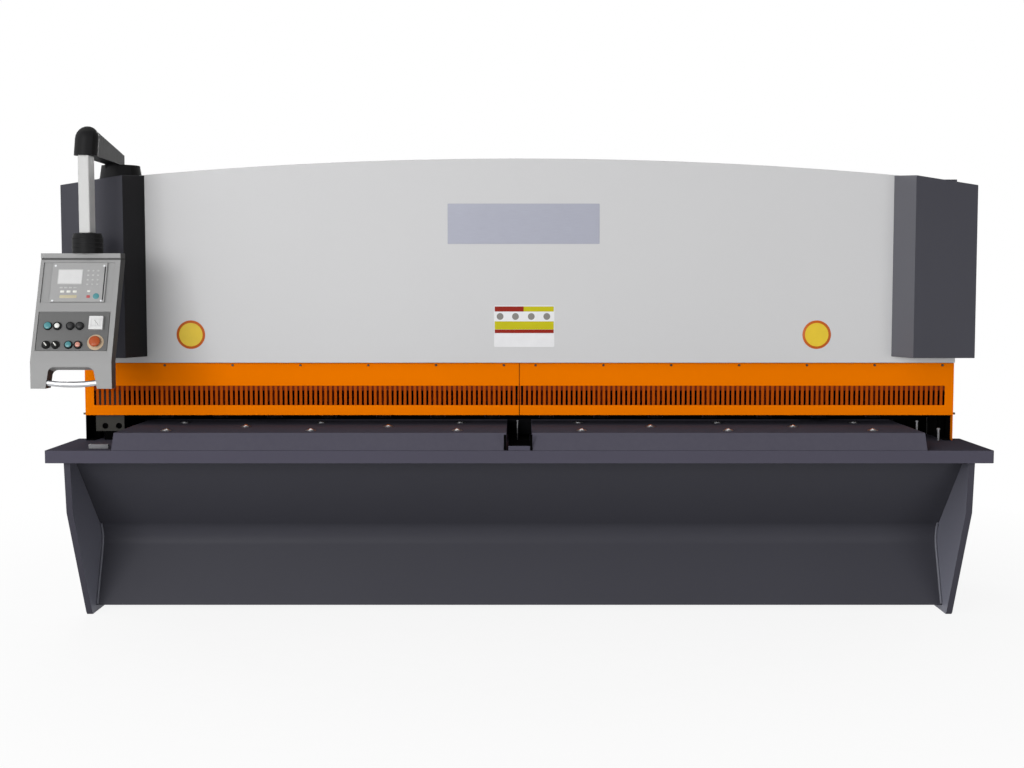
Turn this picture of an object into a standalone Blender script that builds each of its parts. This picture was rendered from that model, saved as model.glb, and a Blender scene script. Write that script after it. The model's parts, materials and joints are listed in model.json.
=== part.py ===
"""Hydraulic guillotine shear with a swinging control pendant, as separate sub-parts.

Metres, +Z up. The machine's own datum is on the floor, at the middle of the work table's
front edge: X to the right, depth to the rear, height up. The datum is set back so that the
world origin lies under the middle of the whole machine.
"""
import math

import bmesh
import bpy
from mathutils import Matrix, Vector

# Gaps between pieces
SEAT = 0.0003
BLADE_GAP = 0.0005
HALVES_GAP = 0.004

# The blade's length, which the whole machine's width follows, and the side frames beside it
BLADE_LENGTH = 4.04
FRAME_BEYOND_BLADE = 0.188
FRAME_THICKNESS = 0.032
FRAME_INNER = BLADE_LENGTH / 2 + FRAME_BEYOND_BLADE
FRAME_OUTER = FRAME_INNER + FRAME_THICKNESS
BETWEEN_FRAMES = FRAME_INNER - SEAT

# Work table and its raised blocks
TABLE_OVERHANG = 0.0775
TABLE_HALF = FRAME_OUTER + TABLE_OVERHANG
TABLE_TOP = 0.895
TABLE_THICKNESS = 0.062
TABLE_UNDER = TABLE_TOP - TABLE_THICKNESS
TABLE_CORNER = 0.012
BLOCK_FROM_FRAME = 0.2155
BLOCK_OUTER = FRAME_INNER - BLOCK_FROM_FRAME
BLOCK_HEIGHT = 0.0817
BLOCK_TOP = TABLE_TOP + SEAT + BLOCK_HEIGHT
BLOCK_SETBACK = 0.005
BLOCK_LEAN = 0.050
NOTCH_WIDTH = 0.128
TONGUE_WIDTH = 0.107
TONGUE_HEIGHT = 0.0227
TONGUE_LENGTH = 0.246

# Finger guard
GUARD_FRONT = 0.462
GUARD_SHEET = 0.003
GUARD_BACK = GUARD_FRONT + GUARD_SHEET
BEHIND_GUARD = GUARD_BACK + SEAT
GUARD_LIFT = 0.051
GUARD_BOTTOM = BLOCK_TOP + GUARD_LIFT
GUARD_HEIGHT = 0.270
GUARD_TOP = GUARD_BOTTOM + GUARD_HEIGHT
GUARD_OVERHANG = 0.010
GUARD_OUTER = FRAME_OUTER + GUARD_OVERHANG
GUARD_FLANGE = 0.018
SLOT_WIDTH = 0.0115
SLOT_HEIGHT = 0.100
SLOT_PITCH = 0.0257
SLOT_RISE = 0.052
SLOT_BOTTOM = GUARD_BOTTOM + SLOT_RISE
SLOT_MARGIN = 0.040
SLOT_COUNT = 1 + int((GUARD_OUTER - 2 * SLOT_MARGIN) / SLOT_PITCH)

# Shape of the side frames
FRAME_BACK = 1.62
FRAME_TOP = 2.2397
FRAME_SHOULDER = 0.16
LEG_FRONT = 0.050
LEG_KNEE_DEPTH = 0.079
LEG_KNEE_HEIGHT = 0.576
LEG_TOE = 0.369
LEG_TOE_CUT = 0.014
THROAT_DEPTH = 0.155
THROAT_BACK = BEHIND_GUARD + THROAT_DEPTH
THROAT_HEIGHT = 0.29
THROAT_CORNER = 0.050
WING_GAP = 0.005
WING_BACK = THROAT_BACK - THROAT_CORNER - WING_GAP

# Bent apron under the table
APRON_TOP_DEPTH = 0.13
APRON_BEND_HEIGHT = 0.40
APRON_FOOT_DEPTH = 0.44
APRON_FOOT_HEIGHT = 0.035
APRON_THICKNESS = 0.010
APRON_BEND_RADIUS = 0.11

# Blades and the blade line
BLADE_DEPTH = 0.765
BLADE_THICKNESS = 0.025
LOWER_BLADE_FRONT = BLADE_DEPTH + SEAT
LOWER_BLADE_BACK = LOWER_BLADE_FRONT + BLADE_THICKNESS
UPPER_BLADE_FRONT = LOWER_BLADE_BACK + BLADE_GAP
UPPER_BLADE_BACK = UPPER_BLADE_FRONT + BLADE_THICKNESS
UPPER_BLADE_HEIGHT = 0.090
BLADE_OPENING = 0.018
RAKE = math.radians(1.2)

# Bed beam under the blades
BED_DEPTH = 0.1703
BED_FRONT = LOWER_BLADE_BACK - BED_DEPTH
BED_WEB = 0.030
BED_DROP = 0.583
BED_BOTTOM = TABLE_UNDER - BED_DROP
BED_RIB_PITCH = 0.47
BED_RIBS = int(2 * BETWEEN_FRAMES / BED_RIB_PITCH)
RIB_THICKNESS = 0.020
APRON_BEFORE_BED = 0.030
APRON_BEND_DEPTH = BED_FRONT - APRON_BEFORE_BED

# Front panel
PANEL_PROUD = 0.032
PANEL_FRONT = GUARD_FRONT - PANEL_PROUD
PANEL_THICKNESS = 0.010
PANEL_BACK = PANEL_FRONT + PANEL_THICKNESS
BEHIND_PANEL = PANEL_BACK + SEAT
PANEL_OVERHANG = 0.005
PANEL_OUTER = FRAME_OUTER + PANEL_OVERHANG
PANEL_LIFT = 0.003
PANEL_BOTTOM = GUARD_TOP + PANEL_LIFT
PANEL_HEIGHT = 1.044
PANEL_CROWN = PANEL_BOTTOM + PANEL_HEIGHT
PANEL_EAR_WIDTH = 0.290
PANEL_EAR_DROP = 0.160
PANEL_ARC_HALF = FRAME_OUTER - PANEL_EAR_WIDTH
PANEL_ARC_DROP = 0.0865

# Side covers
COVER_PROUD = 0.175
COVER_FRONT = PANEL_FRONT - COVER_PROUD
COVER_OVERHANG = 0.051
COVER_OUTER = FRAME_OUTER + COVER_OVERHANG
COVER_WIDTH = 0.310
COVER_INNER = COVER_OUTER - COVER_WIDTH
COVER_FLANK = 0.066
COVER_LIFT = 0.033
COVER_BOTTOM = PANEL_BOTTOM + COVER_LIFT
COVER_DROP = 0.097
COVER_INNER_TOP = PANEL_CROWN - COVER_DROP
COVER_FALL = 0.049
COVER_WRAP = 0.160
COVER_WRAP_BACK = BEHIND_PANEL + COVER_WRAP

# Hold-down beam with its clamp cylinders and its bracket
PRESS_BEFORE_BLADE = 0.020
PRESS_BACK = BLADE_DEPTH - PRESS_BEFORE_BLADE
PRESS_LIFT = 0.178
PRESS_BOTTOM = BLOCK_TOP + PRESS_LIFT
PRESS_HEIGHT = 0.265
PRESS_TOP = PRESS_BOTTOM + PRESS_HEIGHT
CLAMP_FROM_BACK = 0.065
CLAMP_DEPTH = PRESS_BACK - CLAMP_FROM_BACK
CLAMP_PITCH = 0.29
CLAMP_COUNT = 1 + int(BLADE_LENGTH / CLAMP_PITCH)
CLAMP_RADIUS = 0.046
CLAMP_ROD_RADIUS = 0.030
CLAMP_FOOT_RADIUS = 0.040
CLAMP_FOOT = 0.022
CLAMP_LIFT = 0.018
CLAMP_SLEEVE = 0.072
BRACKET_WIDTH = 0.147
BRACKET_BEHIND_GUARD = 0.035
BRACKET_DEPTH = BEHIND_GUARD + BRACKET_BEHIND_GUARD
BRACKET_DROP = 0.214
BRACKET_BOTTOM = PRESS_BOTTOM - BRACKET_DROP
BRACKET_SHEET = 0.012
BRACKET_HOLE = 0.016
BRACKET_HOLE_RISE = 0.027
BRACKET_FIRST_HOLE = 0.048
BRACKET_SECOND_HOLE = 0.119

# Blade beam behind the press beam, and its slideways
KNIFE_PLATE = 0.040
KNIFE_FRONT = UPPER_BLADE_BACK + SEAT
KNIFE_BACK = KNIFE_FRONT + KNIFE_PLATE
KNIFE_REAR = KNIFE_BACK + SEAT
GUIDE_WIDTH = 0.0255
KNIFE_HALF = FRAME_INNER - GUIDE_WIDTH
KNIFE_TOP = 1.90
KNIFE_LAP = 0.011
GUIDE_LENGTH = 0.50
GUIDE_BOTTOM = 1.30
GUIDE_DEPTH = 0.070

# Main cylinders
CYLINDER_FROM_FRAME = 0.158
CYLINDER_X = FRAME_INNER - CYLINDER_FROM_FRAME
CYLINDER_BEHIND_KNIFE = 0.144
CYLINDER_DEPTH = KNIFE_BACK + CYLINDER_BEHIND_KNIFE
CYLINDER_RADIUS = 0.080
CYLINDER_BELOW_TOP = 0.110
CYLINDER_TOP = FRAME_TOP - CYLINDER_BELOW_TOP
CYLINDER_LENGTH = 0.570
CYLINDER_BOTTOM = CYLINDER_TOP - CYLINDER_LENGTH
COLLAR_LIP = 0.012
COLLAR_HEIGHT = 0.050
ROD_RADIUS = 0.035
ROD_REACH = 0.260
LUG_TOP = CYLINDER_BOTTOM - ROD_REACH
LUG_HEIGHT = 0.08
LUG_WIDTH = 0.14

# Torsion box on the back of the blade beam
KNIFE_BOX_GAP = 0.070
KNIFE_BOX_HALF = CYLINDER_X - CYLINDER_RADIUS - KNIFE_BOX_GAP
KNIFE_BOX_DEPTH = 0.224
KNIFE_BOX_BACK = KNIFE_BACK + KNIFE_BOX_DEPTH
KNIFE_BOX_HEIGHT = 0.430
KNIFE_BOX_STEP = 0.010
KNIFE_BOX_TOP = KNIFE_TOP - KNIFE_BOX_STEP
KNIFE_BOX_BOTTOM = KNIFE_BOX_TOP - KNIFE_BOX_HEIGHT
KNIFE_BOX_SLOPE = 0.12

# Beams between the side frames
TOP_TIE_BACK = 0.80
TOP_TIE_HEIGHT = 0.12
TANK_BEAM_GAP = 0.1199
TANK_BEAM_FRONT = KNIFE_BOX_BACK + TANK_BEAM_GAP
TANK_BEAM_DEPTH = 0.32
TANK_BEAM_BACK = TANK_BEAM_FRONT + TANK_BEAM_DEPTH
TANK_BEAM_BOTTOM = 1.44
TANK_BEAM_HEIGHT = 0.15
REAR_TIE_FRONT = 1.30
REAR_TIE_DEPTH = 0.12
REAR_TIE_BOTTOM = 0.28
REAR_TIE_HEIGHT = 0.14

# Oil tank
TANK_SPAN = 2.60
TANK_OVERHANG = 0.030
TANK_FRONT = TANK_BEAM_FRONT - TANK_OVERHANG
TANK_BACK = TANK_BEAM_BACK + TANK_OVERHANG
TANK_BOTTOM = TANK_BEAM_BOTTOM + TANK_BEAM_HEIGHT + SEAT
TANK_HEIGHT = 0.42
TANK_TOP = TANK_BOTTOM + TANK_HEIGHT
TANK_LID = 0.012
TANK_LID_LIP = 0.015
ON_TANK = TANK_TOP + TANK_LID + SEAT

# Motor on the tank
MOTOR_FROM_END = 0.58
MOTOR_X = MOTOR_FROM_END - TANK_SPAN / 2
MOTOR_LENGTH = 0.42
MOTOR_RADIUS = 0.125
MOTOR_FINS = 28
MOTOR_FIN = 0.010
MOTOR_DEPTH = (TANK_FRONT + TANK_BACK) / 2
MOTOR_COWL = 0.084
MOTOR_BELL = 0.067
MOTOR_RIM = 0.004
MOTOR_ROUNDING = 0.022
MOTOR_NOSE_RADIUS = 0.070
SPIGOT_RADIUS = 0.075
SPIGOT_LENGTH = 0.008
MOTOR_FOOT = 0.020
MOTOR_FOOT_LENGTH = 0.17
MOTOR_FOOT_WIDTH = 0.20
MOTOR_FOOT_HEIGHT = 0.058
MOTOR_HEIGHT = ON_TANK + MOTOR_FOOT + MOTOR_RADIUS
TERMINAL_LENGTH = 0.12
TERMINAL_HEIGHT = 0.09
TERMINAL_REACH = 0.045

# Pump and valves on the tank
PUMP_BELL_RADIUS = 0.094
PUMP_BELL_LENGTH = 0.030
PUMP_TAPER_LENGTH = 0.060
PUMP_RADIUS = 0.062
PUMP_BODY_LENGTH = 0.165
PUMP_CAP_RADIUS = 0.044
PUMP_CAP_LENGTH = 0.045
PUMP_FOOT_LENGTH = 0.075
VALVE_FROM_END = 0.88
VALVE_X = TANK_SPAN / 2 - VALVE_FROM_END
VALVE_LENGTH = 0.36
VALVE_DEPTH = 0.16
VALVE_HEIGHT = 0.14
SOLENOIDS = 3
SOLENOID_PITCH = 0.11
SOLENOID_RADIUS = 0.030
SOLENOID_OVERHANG = 0.040
SOLENOID_SINK = 0.006

# Back gauge
GAUGE_X = 1.45
GAUGE_ARM_WIDTH = 0.09
GAUGE_LIFT = 0.063
GAUGE_ARM_BOTTOM = BLOCK_TOP + GAUGE_LIFT
GAUGE_ARM_HEIGHT = 0.10
GAUGE_ARM_WALL = 0.022
GAUGE_ARM_END = 0.045
GAUGE_BACK = 1.766
GAUGE_BEAM_FRONT = 1.38
GAUGE_BEAM_DEPTH = 0.08
GAUGE_BEAM_HEIGHT = 0.12
GAUGE_BEAM_WEB = 0.020
GAUGE_BEAM_FROM_FRAME = 0.058
GAUGE_BEAM_HALF = FRAME_INNER - GAUGE_BEAM_FROM_FRAME
SHAFT_RADIUS = 0.015
SHAFT_FROM_BACK = 0.080
SHAFT_DEPTH = GAUGE_BACK - SHAFT_FROM_BACK

# Rear chute
CHUTE_SHORTER = 0.020
CHUTE_HALF = BLADE_LENGTH / 2 - CHUTE_SHORTER
CHUTE_DROP = 0.105
CHUTE_TOP = TABLE_TOP - CHUTE_DROP
CHUTE_LIP = 0.09
CHUTE_BACK = 1.70
CHUTE_FALL = 0.33
CHUTE_BACK_HEIGHT = CHUTE_TOP - CHUTE_FALL
CHUTE_SHEET = 0.005
CHUTE_FEET = 3
CHUTE_FOOT_PITCH = 1.50

# Swinging arm that carries the pendant, upwards from the top of the side frames
HUB_BASE = FRAME_TOP + SEAT
HUB_FROM_OUTSIDE = 0.165
HUB_X = HUB_FROM_OUTSIDE - FRAME_OUTER
HUB_DEPTH = 0.58
HUB_FLANGE_RADIUS = 0.112
HUB_FLANGE = 0.012
HUB_RADIUS = 0.108
HUB_TOP_RADIUS = 0.098
HUB_HEIGHT = 0.079
HUB_TOP = HUB_BASE + HUB_HEIGHT
ARM_OFFSET = 0.018
ARM_X = HUB_X - ARM_OFFSET
ARM_WIDTH = 0.076
TUBE_DEPTH = 0.030
ELBOW_RADIUS = 0.0565
ELBOW_RISE = 0.085
ELBOW_STRAIGHT = 0.080
ELBOW_DOME = 0.060
ELBOW_LEAN = 0.09
ELBOW_BOTTOM = HUB_BASE + ELBOW_RISE
ELBOW_SHOULDER = ELBOW_BOTTOM + ELBOW_STRAIGHT
ARM_NEAR_HEIGHT = 0.131
ARM_FAR_HEIGHT = 0.053
ARM_SINK = 0.030
ARM_KNEE = 0.020
ARM_OVER_HUB = 0.0015
ARM_NEAR_BOTTOM = ELBOW_BOTTOM + SEAT
ARM_NEAR_TOP = ARM_NEAR_BOTTOM + ARM_NEAR_HEIGHT
ARM_FAR_TOP = HUB_TOP + ARM_FAR_HEIGHT
ARM_FAR_BOTTOM = HUB_TOP - ARM_SINK
TUBE_WIDTH = 0.054
TUBE_LENGTH_ALONG_DEPTH = 0.094
COUPLER_RADIUS = 0.073
COUPLER_NECK_RADIUS = 0.066
COUPLER_HEIGHT = 0.096
COUPLER_SHOULDER = 0.067

# Pendant box, downwards from its top
PENDANT_HANG = 0.386
PENDANT_TOP = HUB_BASE - PENDANT_HANG
PENDANT_WIDTH = 0.385
PENDANT_OFFSET = 0.0245
PENDANT_MIDDLE = ARM_X - PENDANT_OFFSET
PENDANT_LEFT = PENDANT_MIDDLE - PENDANT_WIDTH / 2
PENDANT_RIGHT = PENDANT_MIDDLE + PENDANT_WIDTH / 2
PENDANT_STRIP = 0.034
PENDANT_FACE_HEIGHT = 0.480
PENDANT_SKIRT_HEIGHT = 0.128
FACE_TOP_HEIGHT = PENDANT_TOP - PENDANT_STRIP
PENDANT_FOLD = FACE_TOP_HEIGHT - PENDANT_FACE_HEIGHT
PENDANT_BOTTOM = PENDANT_FOLD - PENDANT_SKIRT_HEIGHT
PENDANT_TOP_FRONT = -0.005
PENDANT_TOP_DEPTH = 0.083
PENDANT_FOOT_FRONT = -0.198
PENDANT_FOOT_DEPTH = 0.072
SEAM_HEIGHT = 0.009
SEAM_DEPTH = 0.006
SEAM_ABOVE_FACE = 0.002
GRIP_SIDE = 0.071
GRIP_LEAN = 0.012
GRIP_HEIGHT = 0.1025
GRIP_CORNER = 0.030
GRIP_SLOPE = 0.25
OVERCUT = 0.010
HANDLE_RADIUS = 0.014
HANDLE_RISE = 0.027
HANDLE_HEIGHT = PENDANT_BOTTOM + HANDLE_RISE
HANDLE_SAG = 0.008
HANDLE_RECESS = 0.004

# Instruments on the pendant's sloping face, measured across from its middle and down from its top
BAY_DEPTH = 0.006
BAY_LEFT = -0.175
BAY_RIGHT = 0.167
BAY_WIDTH = BAY_RIGHT - BAY_LEFT
BAY_X = (BAY_LEFT + BAY_RIGHT) / 2
UPPER_BAY_DOWN = 0.0115
UPPER_BAY_HEIGHT = 0.2065
CONTROLLER_X = 0.001
CONTROLLER_WIDTH = 0.262
CONTROLLER_MARGIN = 0.0025
CONTROLLER_THICKNESS = 0.009
LOWER_BAY_DOWN = 0.2645
LOWER_BAY_HEIGHT = 0.1986
PLATE_MARGIN = 0.0025
PLATE_THICKNESS = 0.005
METER_X = 0.106
METER_DOWN = 0.3255
METER_SIZE = 0.066
METER_THICKNESS = 0.018
STOP_X = 0.109
STOP_DOWN = 0.4205
STOP_RING_RADIUS = 0.039
STOP_RING_THICKNESS = 0.003
STOP_STEM_RADIUS = 0.014
STOP_STEM_LENGTH = 0.012
STOP_CAP_RADIUS = 0.0225
STOP_CAP_CROWN_RADIUS = 0.014
STOP_CAP_LIP = 0.002
STOP_CAP_RIM = 0.006
STOP_CAP_HEIGHT = 0.012
BUTTON_ROW_DOWN = 0.338
SELECTOR_ROW_DOWN = 0.4335
BUTTON_FIRST = -0.1245
BUTTON_PITCH = 0.045
BUTTON_PAIRS = 2
PAIR_PITCH = 0.1065
BUTTON_RADIUS = 0.0165
BUTTON_CAP_RADIUS = 0.0145
BUTTON_BEZEL_HEIGHT = 0.008
BUTTON_HEIGHT = 0.014

# Fineness of the round shapes
ROUND = 32
SMALL_ROUND = 16
CORNER_STEPS = 5
BEND_STEPS = 8
ARC_STEPS = 24
DOME_STEPS = 5
HANDLE_STEPS = 12
SMOOTH_ANGLE = math.radians(35)

# Places of the datum, the pivots and the pendant's face
FRONT_REACH = PENDANT_FOOT_FRONT
BACK_REACH = GAUGE_BACK
DATUM = Vector((0, -(FRONT_REACH + BACK_REACH) / 2, 0))
ARM_PIVOT = Vector((HUB_X, HUB_DEPTH, HUB_BASE + HUB_FLANGE))
PENDANT_PIVOT = Vector((ARM_X, TUBE_DEPTH, PENDANT_TOP))
FACE_TOP = Vector((PENDANT_MIDDLE, PENDANT_TOP_FRONT, FACE_TOP_HEIGHT))
FACE_SLOPE = math.atan2(PENDANT_TOP_FRONT - PENDANT_FOOT_FRONT, PENDANT_FACE_HEIGHT)


def clear_scene():
    for item in list(bpy.data.objects):
        bpy.data.objects.remove(item, do_unlink=True)


def paint(name, color, roughness, metallic=0.0):
    """Return a Principled material of one colour."""
    material = bpy.data.materials.new(name)
    material.use_nodes = True
    shader = material.node_tree.nodes["Principled BSDF"]
    shader.inputs["Base Color"].default_value = (*color, 1)
    shader.inputs["Roughness"].default_value = roughness
    shader.inputs["Metallic"].default_value = metallic
    return material


def make_empty(name, place, parent=None):
    """Add an empty; under a parent, its place is given in the machine's datum."""
    empty = bpy.data.objects.new(name, None)
    bpy.context.collection.objects.link(empty)
    empty.parent = parent
    if parent is None:
        empty.location = place
        drawn_from[name] = Vector((0, 0, 0))
    else:
        empty.location = place - drawn_from[parent.name]
        drawn_from[name] = place
    return empty


def add_piece(name, mesh, material, carrier, smooth=False):
    """Make an object from a bmesh drawn in the datum, with its origin at its carrier."""
    bmesh.ops.translate(mesh, vec=-drawn_from[carrier.name], verts=mesh.verts)
    bmesh.ops.recalc_face_normals(mesh, faces=mesh.faces)
    data = bpy.data.meshes.new(name)
    mesh.to_mesh(data)
    mesh.free()
    if smooth:
        data.shade_smooth()
        data.set_sharp_from_angle(angle=SMOOTH_ANGLE)
    if material is not None:
        data.materials.append(material)
    piece = bpy.data.objects.new(name, data)
    bpy.context.collection.objects.link(piece)
    piece.parent = carrier
    return piece


def combine(target, tool_mesh, operation, carrier):
    """Join a tool to the target, or cut it away, with an exact Boolean."""
    tool = add_piece(f"{target.name}_{operation.lower()}_tool", tool_mesh, None, carrier)
    tool.hide_render = True
    tool.display_type = "WIRE"
    step = target.modifiers.new(operation.title(), "BOOLEAN")
    step.operation = operation
    step.solver = "EXACT"
    step.object = tool


def prism(outline, axis, low, high, mesh=None):
    """Extrude a flat outline along X, Y or Z; its points are the two other coordinates in order."""
    mesh = mesh or bmesh.new()
    order = {"X": lambda a, b: (low, a, b), "Y": lambda a, b: (a, low, b), "Z": lambda a, b: (a, b, low)}
    run = {"X": (high - low, 0, 0), "Y": (0, high - low, 0), "Z": (0, 0, high - low)}
    corners = [mesh.verts.new(order[axis](a, b)) for a, b in outline]
    face = mesh.faces.new(corners)
    grown = bmesh.ops.extrude_face_region(mesh, geom=[face])
    moved = [item for item in grown["geom"] if isinstance(item, bmesh.types.BMVert)]
    bmesh.ops.translate(mesh, vec=run[axis], verts=moved)
    return mesh


def box(x, depth, height, mesh=None):
    """Add a box from its low and high values along X, depth and height."""
    outline = [(x[0], depth[0]), (x[1], depth[0]), (x[1], depth[1]), (x[0], depth[1])]
    return prism(outline, "Z", height[0], height[1], mesh)


def turned(profile, place, sides, axis="Z", mesh=None):
    """Spin a profile of (radius, height) points, closed on the axis at both ends."""
    mesh = mesh or bmesh.new()
    turn = {"Z": Matrix.Identity(4),
            "X": Matrix.Rotation(math.pi / 2, 4, "Y"),
            "Y": Matrix.Rotation(-math.pi / 2, 4, "X")}[axis]
    placed = Matrix.Translation(place) @ turn
    rings = []
    for radius, height in profile:
        ring = []
        for number in range(sides):
            angle = 2 * math.pi * number / sides
            point = Vector((radius * math.cos(angle), radius * math.sin(angle), height))
            ring.append(mesh.verts.new(placed @ point))
        rings.append(ring)
    skin_rings(mesh, rings)
    return mesh


def skin_rings(mesh, rings):
    """Join rings of points one after another, and close the first and the last."""
    sides = len(rings[0])
    for lower, upper in zip(rings, rings[1:]):
        for number in range(sides):
            after = (number + 1) % sides
            mesh.faces.new((lower[number], lower[after], upper[after], upper[number]))
    mesh.faces.new(list(reversed(rings[0])))
    mesh.faces.new(rings[-1])


def mirrored(outline, side):
    """Mirror an outline in X for the left side of the machine."""
    return [(side * a, b) for a, b in outline]


def across(side, low, high):
    """Order two distances from the middle as X values on one side of the machine."""
    return tuple(sorted((side * low, side * high)))


def arc(centre, radius, start, finish, steps=CORNER_STEPS):
    """Points of an arc between two angles in degrees."""
    angles = [start + (finish - start) * step / steps for step in range(steps + 1)]
    return [(centre[0] + radius * math.cos(math.radians(angle)),
             centre[1] + radius * math.sin(math.radians(angle))) for angle in angles]


def bend(before, corner, after, radius, thickness):
    """Front and back points of a sheet's round bend, whose centre lies on the front side."""
    into = (before - corner).normalized()
    out = (after - corner).normalized()
    half = into.angle(out) / 2
    centre = corner + (into + out).normalized() * radius / math.sin(half)
    start = corner + into * radius / math.tan(half) - centre
    finish = corner + out * radius / math.tan(half) - centre
    first = math.degrees(math.atan2(start.y, start.x))
    last = math.degrees(math.atan2(finish.y, finish.x))
    front = arc(centre, radius, first, last, BEND_STEPS)
    back = arc(centre, radius + thickness, first, last, BEND_STEPS)
    return front, back


def frame_outline():
    """Side plate seen from the side: leaning leg, open throat, upright back."""
    seat = TABLE_UNDER - SEAT
    throat_top = seat + THROAT_HEIGHT
    corner = THROAT_CORNER
    outline = [(LEG_TOE + LEG_TOE_CUT, 0), (FRAME_BACK, 0), (FRAME_BACK, FRAME_TOP - FRAME_SHOULDER),
               (FRAME_BACK - FRAME_SHOULDER, FRAME_TOP), (BEHIND_PANEL, FRAME_TOP),
               (BEHIND_PANEL, GUARD_TOP + SEAT), (BEHIND_GUARD, GUARD_TOP + SEAT),
               (BEHIND_GUARD, throat_top)]
    outline += arc((THROAT_BACK - corner, throat_top - corner), corner, 90, 0)
    outline += arc((THROAT_BACK - corner, seat + corner), corner, 0, -90)
    outline += [(LEG_FRONT, seat), (LEG_KNEE_DEPTH, LEG_KNEE_HEIGHT), (LEG_TOE, LEG_TOE_CUT)]
    return outline


def make_side_frames(steel):
    for name, side in (("left", -1), ("right", 1)):
        low, high = across(side, FRAME_INNER, FRAME_OUTER)
        add_piece(f"{name}_side_frame", prism(frame_outline(), "X", low, high), steel, machine)


def make_work_table(steel):
    """Table with wings that reach out over the side frames, and a rear part between the frames."""
    right = arc((TABLE_HALF - TABLE_CORNER, TABLE_CORNER), TABLE_CORNER, 270, 360)
    right += [(TABLE_HALF, WING_BACK), (BETWEEN_FRAMES, WING_BACK), (BETWEEN_FRAMES, LOWER_BLADE_BACK)]
    outline = right + [(-x, depth) for x, depth in reversed(right)]
    add_piece("work_table", prism(outline, "Z", TABLE_UNDER, TABLE_TOP), steel, machine)


def make_table_blocks(steel):
    """Two raised beds whose front faces lean back, with a notch between them."""
    bottom = TABLE_TOP + SEAT
    outline = [(BLOCK_SETBACK, bottom), (BLADE_DEPTH, bottom), (BLADE_DEPTH, BLOCK_TOP),
               (BLOCK_SETBACK + BLOCK_LEAN, BLOCK_TOP)]
    for name, side in (("left", -1), ("right", 1)):
        low, high = across(side, NOTCH_WIDTH / 2, BLOCK_OUTER)
        add_piece(f"{name}_table_block", prism(outline, "X", low, high), steel, machine)
    tongue = box((-TONGUE_WIDTH / 2, TONGUE_WIDTH / 2), (BLOCK_SETBACK, BLOCK_SETBACK + TONGUE_LENGTH),
                 (bottom, bottom + TONGUE_HEIGHT))
    add_piece("notch_tongue", tongue, steel, machine)


def make_table_apron(steel):
    """Plate that leans back under the table, then bends forward again to the floor."""
    top = Vector((APRON_TOP_DEPTH, TABLE_UNDER - SEAT))
    corner = Vector((APRON_BEND_DEPTH, APRON_BEND_HEIGHT))
    foot = Vector((APRON_FOOT_DEPTH, APRON_FOOT_HEIGHT))
    run = top - corner
    fall = foot - corner
    top_back = top.x + APRON_THICKNESS * run.length / abs(run.y)
    foot_back = foot.x + APRON_THICKNESS * fall.length / abs(fall.y)
    front, back = bend(top, corner, foot, APRON_BEND_RADIUS, APRON_THICKNESS)
    outline = [(top.x, top.y), *front, (foot.x, foot.y), (foot_back, foot.y), *reversed(back),
               (top_back, top.y)]
    mesh = prism(outline, "X", -BETWEEN_FRAMES, BETWEEN_FRAMES)
    add_piece("table_apron", mesh, steel, machine, True)


def make_bed_beam(steel):
    """Ribbed channel that carries the table's rear edge under the blades."""
    web = BED_FRONT + BED_WEB
    top = TABLE_UNDER - SEAT
    floor = BED_BOTTOM + BED_WEB
    outline = [(BED_FRONT, BED_BOTTOM), (LOWER_BLADE_BACK, BED_BOTTOM), (LOWER_BLADE_BACK, floor),
               (web, floor), (web, top), (BED_FRONT, top)]
    beam = add_piece("bed_beam", prism(outline, "X", -BETWEEN_FRAMES, BETWEEN_FRAMES), steel, machine)
    ribs = bmesh.new()
    root = BED_WEB / 2
    for number in range(BED_RIBS):
        middle = (number - (BED_RIBS - 1) / 2) * BED_RIB_PITCH
        box((middle - RIB_THICKNESS / 2, middle + RIB_THICKNESS / 2), (web - root, LOWER_BLADE_BACK),
            (BED_BOTTOM + root, top), ribs)
    combine(beam, ribs, "UNION", machine)


def make_blades(steel):
    half = BLADE_LENGTH / 2
    seat = TABLE_TOP + SEAT
    lower = box((-half, half), (LOWER_BLADE_FRONT, LOWER_BLADE_BACK), (seat, BLOCK_TOP))
    add_piece("lower_blade", lower, steel, machine)
    upper = prism(raked_band(half, 0, UPPER_BLADE_HEIGHT), "Y", UPPER_BLADE_FRONT, UPPER_BLADE_BACK)
    add_piece("upper_blade", upper, steel, machine)


def rake_height(x):
    """Height of the upper blade's cutting edge: lowest at the left end."""
    return BLOCK_TOP + BLADE_OPENING + (x + BLADE_LENGTH / 2) * math.tan(RAKE)


def raked_band(half, above, height):
    """Outline of a strip that follows the cutting edge from above it."""
    low_left = rake_height(-half) + above
    low_right = rake_height(half) + above
    return [(-half, low_left), (half, low_right), (half, low_right + height), (-half, low_left + height)]


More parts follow.
